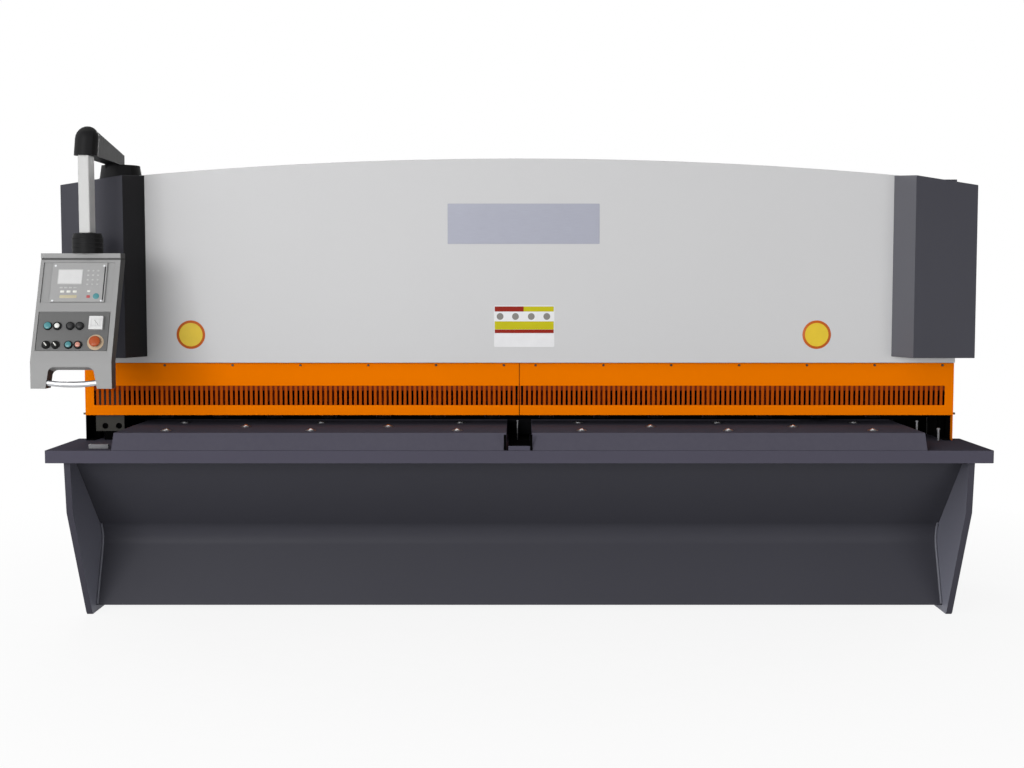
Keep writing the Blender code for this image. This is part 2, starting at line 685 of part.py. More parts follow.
def make_knife_beam(steel):
    """Blade carrier: raked plate, a closed torsion box along its back, and a lug at each end."""
    half = KNIFE_HALF
    outline = [(-half, rake_height(-half) + KNIFE_LAP), (half, rake_height(half) + KNIFE_LAP),
               (half, KNIFE_TOP), (-half, KNIFE_TOP)]
    beam = add_piece("knife_beam", prism(outline, "Y", KNIFE_FRONT, KNIFE_BACK), steel, machine)
    root = KNIFE_BACK - KNIFE_PLATE / 2
    profile = [(root, KNIFE_BOX_BOTTOM), (KNIFE_BACK, KNIFE_BOX_BOTTOM),
               (KNIFE_BOX_BACK, KNIFE_BOX_BOTTOM + KNIFE_BOX_SLOPE), (KNIFE_BOX_BACK, KNIFE_BOX_TOP),
               (root, KNIFE_BOX_TOP)]
    welded = prism(profile, "X", -KNIFE_BOX_HALF, KNIFE_BOX_HALF)
    for side in (-1, 1):
        box(across(side, CYLINDER_X - LUG_WIDTH / 2, CYLINDER_X + LUG_WIDTH / 2),
            (root, CYLINDER_DEPTH + ROD_RADIUS), (LUG_TOP - LUG_HEIGHT, LUG_TOP - SEAT), welded)
    combine(beam, welded, "UNION", machine)


def make_knife_guides(steel):
    """Slideways on the side frames that the blade carrier's ends run along."""
    for name, side in (("left", -1), ("right", 1)):
        x = across(side, KNIFE_HALF + SEAT, BETWEEN_FRAMES)
        middle = (KNIFE_FRONT + KNIFE_BACK) / 2
        guide = box(x, (middle - GUIDE_DEPTH / 2, middle + GUIDE_DEPTH / 2),
                    (GUIDE_BOTTOM, GUIDE_BOTTOM + GUIDE_LENGTH))
        add_piece(f"{name}_knife_guide", guide, steel, machine)


def make_main_cylinders(paint_coat):
    """Cylinders that drive the blade carrier down, each with two brackets on its side frame."""
    for name, side in (("left", -1), ("right", 1)):
        place = Vector((side * CYLINDER_X, CYLINDER_DEPTH, 0))
        collar = CYLINDER_RADIUS + COLLAR_LIP
        lower = CYLINDER_BOTTOM + COLLAR_HEIGHT
        upper = CYLINDER_TOP - COLLAR_HEIGHT
        profile = [(ROD_RADIUS, LUG_TOP), (ROD_RADIUS, CYLINDER_BOTTOM), (collar, CYLINDER_BOTTOM),
                   (collar, lower), (CYLINDER_RADIUS, lower), (CYLINDER_RADIUS, upper), (collar, upper),
                   (collar, CYLINDER_TOP)]
        barrel = turned(profile, place, ROUND)
        cylinder = add_piece(f"{name}_main_cylinder", barrel, paint_coat, machine, True)
        brackets = bmesh.new()
        for height in (lower + COLLAR_HEIGHT, upper - COLLAR_HEIGHT):
            box(across(side, CYLINDER_X, BETWEEN_FRAMES),
                (CYLINDER_DEPTH - CYLINDER_RADIUS / 2, CYLINDER_DEPTH + CYLINDER_RADIUS / 2),
                (height - COLLAR_HEIGHT / 2, height + COLLAR_HEIGHT / 2), brackets)
        combine(cylinder, brackets, "UNION", machine)


def make_press_beam(steel):
    """Hold-down beam between the side frames, with a row of clamp cylinders under it."""
    body = box((-BETWEEN_FRAMES, BETWEEN_FRAMES), (BEHIND_GUARD, PRESS_BACK), (PRESS_BOTTOM, PRESS_TOP))
    beam = add_piece("hold_down_beam", body, steel, machine)
    foot = BLOCK_TOP + CLAMP_LIFT
    sleeve = PRESS_BOTTOM - CLAMP_SLEEVE
    profile = [(CLAMP_FOOT_RADIUS, foot), (CLAMP_FOOT_RADIUS, foot + CLAMP_FOOT),
               (CLAMP_ROD_RADIUS, foot + CLAMP_FOOT), (CLAMP_ROD_RADIUS, sleeve), (CLAMP_RADIUS, sleeve),
               (CLAMP_RADIUS, PRESS_BOTTOM + CLAMP_FOOT)]
    clamps = bmesh.new()
    for number in range(CLAMP_COUNT):
        x = (number - (CLAMP_COUNT - 1) / 2) * CLAMP_PITCH
        turned(profile, Vector((x, CLAMP_DEPTH, 0)), SMALL_ROUND, mesh=clamps)
    combine(beam, clamps, "UNION", machine)


def make_press_bracket(steel):
    """Plate that hangs from the beam's left end, with two bolt holes low down."""
    plate = box(across(-1, BETWEEN_FRAMES - BRACKET_WIDTH, BETWEEN_FRAMES),
                (BRACKET_DEPTH, BRACKET_DEPTH + BRACKET_SHEET), (BRACKET_BOTTOM, PRESS_BOTTOM - SEAT))
    bracket = add_piece("hold_down_bracket", plate, steel, machine)
    holes = bmesh.new()
    profile = [(BRACKET_HOLE, -BRACKET_SHEET), (BRACKET_HOLE, 2 * BRACKET_SHEET)]
    for distance in (BRACKET_FIRST_HOLE, BRACKET_SECOND_HOLE):
        place = Vector((-BETWEEN_FRAMES + distance, BRACKET_DEPTH, BRACKET_BOTTOM + BRACKET_HOLE_RISE))
        turned(profile, place, SMALL_ROUND, "Y", holes)
    combine(bracket, holes, "DIFFERENCE", machine)


def make_finger_guards(orange):
    """Slotted guard in two halves, with a folded lower edge and an end plate at each side."""
    sheet = (GUARD_FRONT, GUARD_BACK)
    cut = (GUARD_FRONT - GUARD_SHEET, GUARD_BACK + GUARD_SHEET)
    fold_end = GUARD_OUTER - GUARD_SHEET - SEAT
    for name, side in (("left", -1), ("right", 1)):
        body = box(across(side, HALVES_GAP / 2, GUARD_OUTER), sheet, (GUARD_BOTTOM, GUARD_TOP))
        guard = add_piece(f"{name}_finger_guard", body, orange, machine)
        fold = box(across(side, HALVES_GAP / 2, fold_end),
                   (GUARD_FRONT + GUARD_SHEET / 2, GUARD_FRONT + GUARD_FLANGE),
                   (GUARD_BOTTOM, GUARD_BOTTOM + GUARD_SHEET))
        combine(guard, fold, "UNION", machine)
        slots = bmesh.new()
        for number in range(SLOT_COUNT):
            x = side * (SLOT_MARGIN + number * SLOT_PITCH)
            box((x - SLOT_WIDTH / 2, x + SLOT_WIDTH / 2), cut,
                (SLOT_BOTTOM, SLOT_BOTTOM + SLOT_HEIGHT), slots)
        combine(guard, slots, "DIFFERENCE", machine)


def make_guard_ends(orange):
    """Folded plates that close the throats beside the guard and stand on the table."""
    outer = GUARD_OUTER
    back = THROAT_BACK
    outline = [(outer - GUARD_SHEET, BEHIND_GUARD), (outer, BEHIND_GUARD), (outer, back),
               (FRAME_OUTER + SEAT, back), (FRAME_OUTER + SEAT, back - GUARD_SHEET),
               (outer - GUARD_SHEET, back - GUARD_SHEET)]
    for name, side in (("left", -1), ("right", 1)):
        mesh = prism(mirrored(outline, side), "Z", TABLE_TOP + SEAT, GUARD_TOP)
        add_piece(f"{name}_guard_end", mesh, orange, machine)


def panel_top(x):
    """Height of the panel's arched upper edge."""
    radius = (PANEL_ARC_HALF ** 2 + PANEL_ARC_DROP ** 2) / (2 * PANEL_ARC_DROP)
    return PANEL_CROWN - radius + math.sqrt(radius ** 2 - x ** 2)


def make_front_panel(grey):
    """Flat panel with a low ear at each end and an arched edge between them."""
    half = PANEL_OUTER
    ear_top = PANEL_CROWN - PANEL_EAR_DROP
    outline = [(-half, PANEL_BOTTOM), (half, PANEL_BOTTOM), (half, ear_top), (PANEL_ARC_HALF, ear_top)]
    for step in range(ARC_STEPS + 1):
        x = PANEL_ARC_HALF - 2 * PANEL_ARC_HALF * step / ARC_STEPS
        outline.append((x, panel_top(x)))
    outline += [(-PANEL_ARC_HALF, ear_top), (-half, ear_top)]
    add_piece("front_panel", prism(outline, "Y", PANEL_FRONT, PANEL_BACK), grey, machine)


def make_side_covers(dark):
    """Closed housings in front of the side frames, wrapped round their outer faces."""
    panel_end = PANEL_OUTER + SEAT
    panel_face = PANEL_FRONT - SEAT
    outline = [(COVER_INNER - COVER_FLANK, panel_face), (COVER_INNER, COVER_FRONT),
               (COVER_OUTER, COVER_FRONT), (COVER_OUTER, COVER_WRAP_BACK),
               (FRAME_OUTER + SEAT, COVER_WRAP_BACK), (FRAME_OUTER + SEAT, BEHIND_PANEL),
               (panel_end, BEHIND_PANEL), (panel_end, panel_face)]
    fall = COVER_FALL / COVER_WIDTH
    for name, side in (("left", -1), ("right", 1)):
        mesh = prism(mirrored(outline, side), "Z", COVER_BOTTOM, COVER_INNER_TOP)
        for corner in mesh.verts:
            if corner.co.z > COVER_BOTTOM:
                corner.co.z = COVER_INNER_TOP + (COVER_INNER - abs(corner.co.x)) * fall
        add_piece(f"{name}_side_cover", mesh, dark, machine)


def make_cross_beams(steel):
    x = (-BETWEEN_FRAMES, BETWEEN_FRAMES)
    top_tie = box(x, (BEHIND_PANEL, TOP_TIE_BACK), (FRAME_TOP - TOP_TIE_HEIGHT, FRAME_TOP))
    add_piece("top_tie_beam", top_tie, steel, machine)
    tank_beam = box(x, (TANK_BEAM_FRONT, TANK_BEAM_BACK),
                    (TANK_BEAM_BOTTOM, TANK_BEAM_BOTTOM + TANK_BEAM_HEIGHT))
    add_piece("tank_beam", tank_beam, steel, machine)
    rear_tie = box(x, (REAR_TIE_FRONT, REAR_TIE_FRONT + REAR_TIE_DEPTH),
                   (REAR_TIE_BOTTOM, REAR_TIE_BOTTOM + REAR_TIE_HEIGHT))
    add_piece("rear_tie_beam", rear_tie, steel, machine)


def make_oil_tank(grey):
    half = TANK_SPAN / 2
    body = box((-half, half), (TANK_FRONT, TANK_BACK), (TANK_BOTTOM, TANK_TOP))
    tank = add_piece("oil_tank", body, grey, machine)
    lip = TANK_LID_LIP
    lid = box((-half - lip, half + lip), (TANK_FRONT - lip, TANK_BACK + lip),
              (TANK_TOP - TANK_LID, TANK_TOP + TANK_LID))
    combine(tank, lid, "UNION", machine)


def fin_outline(radius, fin, fins):
    """Star of cooling fins round a motor's barrel; a fin and a gap take two quarters each."""
    outline = []
    for number in range(fins):
        for quarter, reach in enumerate((radius, radius, radius - fin, radius - fin)):
            angle = 2 * math.pi * (number + quarter / 4) / fins
            outline.append((reach * math.cos(angle), reach * math.sin(angle)))
    return outline


def make_motor(coat):
    """Finned motor lying along the tank, with a fan cowl, a drive end, a foot and a terminal box."""
    half = MOTOR_LENGTH / 2
    middle = Vector((MOTOR_X, MOTOR_DEPTH, MOTOR_HEIGHT))
    lap = MOTOR_FIN / 2
    rim = MOTOR_RADIUS + MOTOR_RIM
    star = [(MOTOR_DEPTH + a, MOTOR_HEIGHT + b) for a, b in fin_outline(MOTOR_RADIUS, MOTOR_FIN, MOTOR_FINS)]
    barrel = prism(star, "X", MOTOR_X - half + MOTOR_COWL - lap, MOTOR_X + half - MOTOR_BELL + lap)
    motor = add_piece("motor", barrel, coat, machine)
    cowl = [(MOTOR_NOSE_RADIUS, -half), (rim - MOTOR_ROUNDING / 2, -half + MOTOR_ROUNDING),
            (rim, -half + 2 * MOTOR_ROUNDING), (rim, -half + MOTOR_COWL)]
    drive_end = [(rim, half - MOTOR_BELL), (rim, half - MOTOR_ROUNDING - SPIGOT_LENGTH),
                 (SPIGOT_RADIUS, half - SPIGOT_LENGTH), (SPIGOT_RADIUS, half)]
    ends = turned(cowl, middle, ROUND, "X")
    turned(drive_end, middle, ROUND, "X", ends)
    box((MOTOR_X - MOTOR_FOOT_LENGTH / 2, MOTOR_X + MOTOR_FOOT_LENGTH / 2),
        (MOTOR_DEPTH - MOTOR_FOOT_WIDTH / 2, MOTOR_DEPTH + MOTOR_FOOT_WIDTH / 2),
        (ON_TANK, ON_TANK + MOTOR_FOOT_HEIGHT), ends)
    box((MOTOR_X - TERMINAL_LENGTH / 2, MOTOR_X + TERMINAL_LENGTH / 2),
        (MOTOR_DEPTH + MOTOR_RADIUS - 2 * MOTOR_FIN, MOTOR_DEPTH + MOTOR_RADIUS + TERMINAL_REACH),
        (MOTOR_HEIGHT, MOTOR_HEIGHT + TERMINAL_HEIGHT), ends)
    combine(motor, ends, "UNION", machine)


def make_pump(coat):
    """Bell housing and pump on the motor's shaft end."""
    start = MOTOR_X + MOTOR_LENGTH / 2 + SEAT
    body_start = PUMP_BELL_LENGTH + PUMP_TAPER_LENGTH
    body_end = body_start + PUMP_BODY_LENGTH
    profile = [(PUMP_BELL_RADIUS, 0), (PUMP_BELL_RADIUS, PUMP_BELL_LENGTH), (PUMP_RADIUS, body_start),
               (PUMP_RADIUS, body_end), (PUMP_CAP_RADIUS, body_end + PUMP_CAP_LENGTH)]
    place = Vector((start, MOTOR_DEPTH, MOTOR_HEIGHT))
    pump = add_piece("oil_pump", turned(profile, place, ROUND, "X"), coat, machine, True)
    foot_middle = start + (body_start + body_end) / 2
    foot = box((foot_middle - PUMP_FOOT_LENGTH / 2, foot_middle + PUMP_FOOT_LENGTH / 2),
               (MOTOR_DEPTH - PUMP_RADIUS, MOTOR_DEPTH + PUMP_RADIUS), (ON_TANK, MOTOR_HEIGHT))
    combine(pump, foot, "UNION", machine)


def make_valve_block(coat):
    """Valve manifold on the tank with solenoid valves across its top."""
    half = VALVE_LENGTH / 2
    top = ON_TANK + VALVE_HEIGHT
    body = box((VALVE_X - half, VALVE_X + half),
               (MOTOR_DEPTH - VALVE_DEPTH / 2, MOTOR_DEPTH + VALVE_DEPTH / 2), (ON_TANK, top))
    block = add_piece("valve_block", body, coat, machine)
    valves = bmesh.new()
    reach = VALVE_DEPTH / 2 + SOLENOID_OVERHANG
    for number in range(SOLENOIDS):
        x = VALVE_X + (number - (SOLENOIDS - 1) / 2) * SOLENOID_PITCH
        place = Vector((x, MOTOR_DEPTH, top + SOLENOID_RADIUS - SOLENOID_SINK))
        turned([(SOLENOID_RADIUS, -reach), (SOLENOID_RADIUS, reach)], place, SMALL_ROUND, "Y", valves)
    combine(block, valves, "UNION", machine)


def make_back_gauge(steel, dark):
    """Stop bar under two arms that stand out behind the blade carrier, joined by a drive shaft."""
    arm_top = GAUGE_ARM_BOTTOM + GAUGE_ARM_HEIGHT
    half = GAUGE_ARM_WIDTH / 2
    for name, side in (("left", -1), ("right", 1)):
        x = across(side, GAUGE_X - half, GAUGE_X + half)
        arm = box(x, (KNIFE_REAR, GAUGE_BACK), (GAUGE_ARM_BOTTOM, arm_top))
        piece = add_piece(f"{name}_gauge_arm", arm, dark, machine)
        wall = GAUGE_ARM_WALL
        channel = box((x[0] + wall, x[1] - wall), (KNIFE_REAR + GAUGE_ARM_END, SHAFT_DEPTH - GAUGE_ARM_END),
                      (GAUGE_ARM_BOTTOM + wall, arm_top + wall))
        combine(piece, channel, "DIFFERENCE", machine)
    top = GAUGE_ARM_BOTTOM - SEAT
    bottom = top - GAUGE_BEAM_HEIGHT
    front = GAUGE_BEAM_FRONT
    back = front + GAUGE_BEAM_DEPTH
    web = GAUGE_BEAM_WEB
    outline = [(front, bottom), (back, bottom), (back, bottom + web), (front + web, bottom + web),
               (front + web, top - web), (back, top - web), (back, top), (front, top)]
    add_piece("gauge_stop_bar", prism(outline, "X", -GAUGE_BEAM_HALF, GAUGE_BEAM_HALF), steel, machine)
    inner = GAUGE_X - half - SEAT
    shaft = turned([(SHAFT_RADIUS, -inner), (SHAFT_RADIUS, inner)],
                   Vector((0, SHAFT_DEPTH, GAUGE_ARM_BOTTOM + GAUGE_ARM_HEIGHT / 2)), SMALL_ROUND, "X")
    add_piece("gauge_drive_shaft", shaft, steel, machine, True)


def make_rear_chute(steel):
    """Sloping sheet that carries cut strips away, hooked on the bed and on feet over the rear tie."""
    front = LOWER_BLADE_BACK + SEAT
    sheet = CHUTE_SHEET
    drop = CHUTE_TOP - CHUTE_LIP
    outline = [(front, drop), (front, CHUTE_TOP), (front + sheet, CHUTE_TOP),
               (CHUTE_BACK, CHUTE_BACK_HEIGHT), (CHUTE_BACK, CHUTE_BACK_HEIGHT - CHUTE_LIP),
               (CHUTE_BACK - sheet, CHUTE_BACK_HEIGHT - CHUTE_LIP),
               (CHUTE_BACK - sheet, CHUTE_BACK_HEIGHT - sheet), (front + sheet, CHUTE_TOP - 2 * sheet),
               (front + sheet, drop)]
    chute = add_piece("rear_chute", prism(outline, "X", -CHUTE_HALF, CHUTE_HALF), steel, machine)
    tie_top = REAR_TIE_BOTTOM + REAR_TIE_HEIGHT + SEAT
    tie_back = REAR_TIE_FRONT + REAR_TIE_DEPTH
    slope = CHUTE_FALL / (CHUTE_BACK - front - sheet)
    feet = bmesh.new()
    for number in range(CHUTE_FEET):
        middle = (number - (CHUTE_FEET - 1) / 2) * CHUTE_FOOT_PITCH
        top_front = CHUTE_TOP - sheet - slope * (REAR_TIE_FRONT - front)
        top_back = CHUTE_TOP - sheet - slope * (tie_back - front)
        outline = [(REAR_TIE_FRONT, tie_top), (tie_back, tie_top), (tie_back, top_back),
                   (REAR_TIE_FRONT, top_front)]
        prism(outline, "X", middle - RIB_THICKNESS / 2, middle + RIB_THICKNESS / 2, feet)
    combine(chute, feet, "UNION", machine)


def make_arm(black):
    """Fixed flange, then the arm that turns on it: hub, sloping box arm and round elbow."""
    hub = Vector((HUB_X, HUB_DEPTH, 0))
    flange = turned([(HUB_FLANGE_RADIUS, HUB_BASE), (HUB_FLANGE_RADIUS, HUB_BASE + HUB_FLANGE)], hub, ROUND)
    add_piece("arm_base", flange, black, machine, True)
    start = HUB_BASE + HUB_FLANGE + SEAT
    head = turned([(HUB_RADIUS, start), (HUB_TOP_RADIUS, HUB_TOP)], hub, ROUND)
    arm = add_piece("swing_arm", head, black, arm_pivot, True)
    half = ARM_WIDTH / 2
    knee = HUB_DEPTH - HUB_TOP_RADIUS
    outline = [(TUBE_DEPTH, ARM_NEAR_BOTTOM), (knee, HUB_TOP + ARM_OVER_HUB),
               (knee + ARM_KNEE, ARM_FAR_BOTTOM), (HUB_DEPTH, ARM_FAR_BOTTOM), (HUB_DEPTH, ARM_FAR_TOP),
               (TUBE_DEPTH, ARM_NEAR_TOP)]
    beam = prism(outline, "X", ARM_X - half, ARM_X + half)
    combine(arm, beam, "UNION", arm_pivot)
    combine(arm, elbow_mesh(), "UNION", arm_pivot)


def elbow_mesh():
    """Round elbow over the drop tube, domed on top and leaning a little to the right."""
    profile = [(ELBOW_RADIUS, ELBOW_BOTTOM), (ELBOW_RADIUS, ELBOW_SHOULDER)]
    for step in range(1, DOME_STEPS + 1):
        angle = math.pi / 2 * step / (DOME_STEPS + 1)
        height = ELBOW_SHOULDER + ELBOW_DOME * math.sin(angle)
        profile.append((ELBOW_RADIUS * math.cos(angle), height))
    elbow = turned(profile, Vector((ARM_X, TUBE_DEPTH, 0)), ROUND)
    for corner in elbow.verts:
        corner.co.x += (corner.co.z - ELBOW_BOTTOM) * ELBOW_LEAN
    return elbow


def make_drop_tube(grey, black):
    """Rectangular tube down from the elbow, and the round coupler the pendant turns on."""
    coupler_bottom = PENDANT_TOP + SEAT
    coupler_top = coupler_bottom + COUPLER_HEIGHT
    half = TUBE_WIDTH / 2
    deep = TUBE_LENGTH_ALONG_DEPTH / 2
    tube = box((ARM_X - half, ARM_X + half), (TUBE_DEPTH - deep, TUBE_DEPTH + deep),
               (coupler_top + SEAT, ELBOW_BOTTOM - SEAT))
    add_piece("drop_tube", tube, grey, arm_pivot)
    profile = [(COUPLER_RADIUS, coupler_bottom), (COUPLER_RADIUS, coupler_bottom + COUPLER_SHOULDER),
               (COUPLER_NECK_RADIUS, coupler_top)]
    coupler = turned(profile, Vector((ARM_X, TUBE_DEPTH, 0)), ROUND)
    add_piece("pendant_coupler", coupler, black, arm_pivot, True)


def face_place(x, down):
    """Matrix of a point on the pendant's sloping face; its own Z points out of the face."""
    turn = Matrix.Rotation(math.pi / 2 - FACE_SLOPE, 4, "X")
    return Matrix.Translation(FACE_TOP) @ turn @ Matrix.Translation((x, -down, 0))


def laid_on_face(piece, x, down, mesh):
    """Move a mesh drawn round the origin onto the sloping face, and add it to another mesh if given."""
    bmesh.ops.transform(piece, matrix=face_place(x, down), verts=piece.verts)
    if mesh is None:
        return piece
    held = bpy.data.meshes.new("held")
    piece.to_mesh(held)
    piece.free()
    mesh.from_mesh(held)
    bpy.data.meshes.remove(held)
    return mesh


def face_box(x, down, width, height, low, high, mesh=None):
    """Box on the sloping face, centred at x across it and starting at a distance down it."""
    return laid_on_face(box((-width / 2, width / 2), (-height, 0), (low, high)), x, down, mesh)


def face_turned(profile, x, down, mesh=None):
    """Turned piece standing out of the sloping face."""
    return laid_on_face(turned(profile, Vector((0, 0, 0)), SMALL_ROUND), x, down, mesh)


def grip_closing(height, depth):
    """How far each side of the grip's opening has closed in at a height and a depth."""
    rise = height - PENDANT_BOTTOM + GRIP_SLOPE * (depth - PENDANT_FOOT_FRONT)
    return GRIP_LEAN * rise / (GRIP_HEIGHT - GRIP_CORNER)


def grip_mesh():
    """Cutter of the grip's opening: leaning sides, round upper corners, a roof that falls to the rear."""
    bottom = PENDANT_BOTTOM - OVERCUT
    side = PENDANT_WIDTH / 2 - GRIP_SIDE
    shoulder = side - GRIP_LEAN - GRIP_CORNER
    below = side - grip_closing(bottom, PENDANT_FOOT_FRONT)
    middle_height = PENDANT_BOTTOM + GRIP_HEIGHT - GRIP_CORNER
    right = [(PENDANT_MIDDLE + below, bottom)]
    right += arc((PENDANT_MIDDLE + shoulder, middle_height), GRIP_CORNER, 0, 90)
    left = [(2 * PENDANT_MIDDLE - x, height) for x, height in reversed(right)]
    cutter = prism(right + left, "Y", PENDANT_FOOT_FRONT - OVERCUT,
                   PENDANT_FOOT_FRONT + PENDANT_FOOT_DEPTH + OVERCUT)
    for corner in cutter.verts:
        corner.co.z -= GRIP_SLOPE * (corner.co.y - PENDANT_FOOT_FRONT)
    return cutter


def make_pendant_box(grey):
    """Sloping console on two legs, with a lid seam, two bays for its instruments and an open grip."""
    back = PENDANT_TOP_FRONT + PENDANT_TOP_DEPTH
    foot_back = PENDANT_FOOT_FRONT + PENDANT_FOOT_DEPTH
    outline = [(PENDANT_TOP_FRONT, PENDANT_TOP), (PENDANT_TOP_FRONT, FACE_TOP_HEIGHT),
               (PENDANT_FOOT_FRONT, PENDANT_FOLD), (PENDANT_FOOT_FRONT, PENDANT_BOTTOM),
               (foot_back, PENDANT_BOTTOM), (foot_back, PENDANT_FOLD), (back, FACE_TOP_HEIGHT),
               (back, PENDANT_TOP)]
    shell = add_piece("pendant_box", prism(outline, "X", PENDANT_LEFT, PENDANT_RIGHT), grey, pendant_pivot)
    combine(shell, grip_mesh(), "DIFFERENCE", pendant_pivot)
    seam_bottom = FACE_TOP_HEIGHT + SEAM_ABOVE_FACE
    cuts = box((PENDANT_LEFT - OVERCUT, PENDANT_RIGHT + OVERCUT),
               (PENDANT_TOP_FRONT - OVERCUT, PENDANT_TOP_FRONT + SEAM_DEPTH),
               (seam_bottom, seam_bottom + SEAM_HEIGHT))
    face_box(BAY_X, UPPER_BAY_DOWN, BAY_WIDTH, UPPER_BAY_HEIGHT, -BAY_DEPTH, BAY_DEPTH, cuts)
    face_box(BAY_X, LOWER_BAY_DOWN, BAY_WIDTH, LOWER_BAY_HEIGHT, -BAY_DEPTH, BAY_DEPTH, cuts)
    combine(shell, cuts, "DIFFERENCE", pendant_pivot)


def make_pendant_handle(steel):
    """Bowed grip bar between the skirt's two legs."""
    middle_depth = PENDANT_FOOT_FRONT + HANDLE_RECESS + HANDLE_RADIUS
    side = PENDANT_WIDTH / 2 - GRIP_SIDE - SEAT
    mesh = bmesh.new()
    rings = []
    for step in range(HANDLE_STEPS + 1):
        along = 2 * step / HANDLE_STEPS - 1
        sag = HANDLE_SAG * (1 - along ** 2)
        ring = []
        for number in range(SMALL_ROUND):
            angle = 2 * math.pi * number / SMALL_ROUND
            depth = middle_depth + HANDLE_RADIUS * math.cos(angle)
            height = HANDLE_HEIGHT + HANDLE_RADIUS * math.sin(angle)
            x = PENDANT_MIDDLE + along * (side - grip_closing(height, depth))
            ring.append(mesh.verts.new((x, depth, height - sag)))
        rings.append(ring)
    skin_rings(mesh, rings)
    add_piece("pendant_handle", mesh, steel, pendant_pivot, True)


def make_instruments(grey, dark, red):
    """Controller, button plate, meter and stop button, each seated in or on the sloping face."""
    floor = -BAY_DEPTH + SEAT
    controller = face_box(CONTROLLER_X, UPPER_BAY_DOWN + CONTROLLER_MARGIN, CONTROLLER_WIDTH,
                          UPPER_BAY_HEIGHT - 2 * CONTROLLER_MARGIN, floor, floor + CONTROLLER_THICKNESS)
    add_piece("shear_controller", controller, grey, pendant_pivot)
    plate_top = floor + PLATE_THICKNESS
    plate = face_box(BAY_X, LOWER_BAY_DOWN + PLATE_MARGIN, BAY_WIDTH - 2 * PLATE_MARGIN,
                     LOWER_BAY_HEIGHT - 2 * PLATE_MARGIN, floor, plate_top)
    button_plate = add_piece("button_plate", plate, grey, pendant_pivot)
    buttons = bmesh.new()
    bezel_top = plate_top + BUTTON_BEZEL_HEIGHT
    profile = [(BUTTON_RADIUS, plate_top - PLATE_THICKNESS / 2), (BUTTON_RADIUS, bezel_top),
               (BUTTON_CAP_RADIUS, bezel_top), (BUTTON_CAP_RADIUS, plate_top + BUTTON_HEIGHT)]
    for down in (BUTTON_ROW_DOWN, SELECTOR_ROW_DOWN):
        for pair in range(BUTTON_PAIRS):
            first = BUTTON_FIRST + pair * PAIR_PITCH
            face_turned(profile, first, down, buttons)
            face_turned(profile, first + BUTTON_PITCH, down, buttons)
    combine(button_plate, buttons, "UNION", pendant_pivot)
    seat = plate_top + SEAT
    meter = face_box(METER_X, METER_DOWN - METER_SIZE / 2, METER_SIZE, METER_SIZE, seat,
                     seat + METER_THICKNESS)
    add_piece("power_meter", meter, dark, pendant_pivot)
    ring_top = seat + STOP_RING_THICKNESS
    cap = ring_top + STOP_STEM_LENGTH
    rim = cap + STOP_CAP_LIP
    profile = [(STOP_RING_RADIUS, seat), (STOP_RING_RADIUS, ring_top), (STOP_STEM_RADIUS, ring_top),
               (STOP_STEM_RADIUS, cap), (STOP_CAP_RADIUS, rim), (STOP_CAP_RADIUS, rim + STOP_CAP_RIM),
               (STOP_CAP_CROWN_RADIUS, cap + STOP_CAP_HEIGHT)]
    add_piece("stop_button", face_turned(profile, STOP_X, STOP_DOWN), red, pendant_pivot, True)


clear_scene()
drawn_from = {}
machine = make_empty("machine_datum", DATUM)
arm_pivot = make_empty("arm_pivot", ARM_PIVOT, machine)
pendant_pivot = make_empty("pendant_pivot", PENDANT_PIVOT, arm_pivot)

frame_paint = paint("frame_paint", (0.055, 0.055, 0.068), 0.55)
cover_paint = paint("cover_paint", (0.062, 0.062, 0.070), 0.5)
panel_paint = paint("panel_paint", (0.58, 0.58, 0.57), 0.5)
guard_orange = paint("guard_orange", (0.74, 0.16, 0.004), 0.45)
tool_steel = paint("tool_steel", (0.40, 0.40, 0.41), 0.35, 0.9)
bare_steel = paint("bare_steel", (0.50, 0.50, 0.50), 0.35, 0.9)
black_coat = paint("black_coat", (0.014, 0.014, 0.015), 0.5)
tube_coat = paint("tube_coat", (0.62, 0.62, 0.62), 0.45)
pendant_grey = paint("pendant_grey", (0.40, 0.40, 0.40), 0.5)
plate_grey = paint("plate_grey", (0.24, 0.24, 0.24), 0.5)
meter_white = paint("meter_white", (0.72, 0.72, 0.70), 0.4)
stop_red = paint("stop_red", (0.55, 0.06, 0.02), 0.4)
motor_coat = paint("motor_coat", (0.10, 0.16, 0.24), 0.5)

make_side_frames(frame_paint)
make_work_table(frame_paint)
make_table_blocks(frame_paint)
make_table_apron(frame_paint)
make_bed_beam(frame_paint)
make_blades(tool_steel)
make_knife_beam(frame_paint)
make_knife_guides(bare_steel)
make_main_cylinders(frame_paint)
make_press_beam(frame_paint)
make_press_bracket(frame_paint)
make_finger_guards(guard_orange)
make_guard_ends(guard_orange)
make_front_panel(panel_paint)
make_side_covers(cover_paint)
make_cross_beams(frame_paint)
make_oil_tank(panel_paint)
make_motor(motor_coat)
make_pump(motor_coat)
make_valve_block(bare_steel)
make_back_gauge(bare_steel, frame_paint)
make_rear_chute(frame_paint)
make_arm(black_coat)
make_drop_tube(tube_coat, black_coat)
make_pendant_box(pendant_grey)
make_pendant_handle(bare_steel)
make_instruments(plate_grey, meter_white, stop_red)
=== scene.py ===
# %% [markdown]
# # A hydraulic guillotine shear
#
# A guillotine shear cuts sheet metal between a fixed blade on its table and a blade that a pair
# of cylinders drives down behind the front panel. The solids of this machine already exist, with
# their real sizes. This lesson dresses them: it rounds their edges, paints them with procedural
# finishes, and adds the small parts that are too fine for the solids, such as the ball transfer
# units in the table, the screws, the keys of the pendant and the pipes on the oil tank.

# %% Load the solids
import json
import math

import bmesh
import bpy
from mathutils import Matrix, Vector


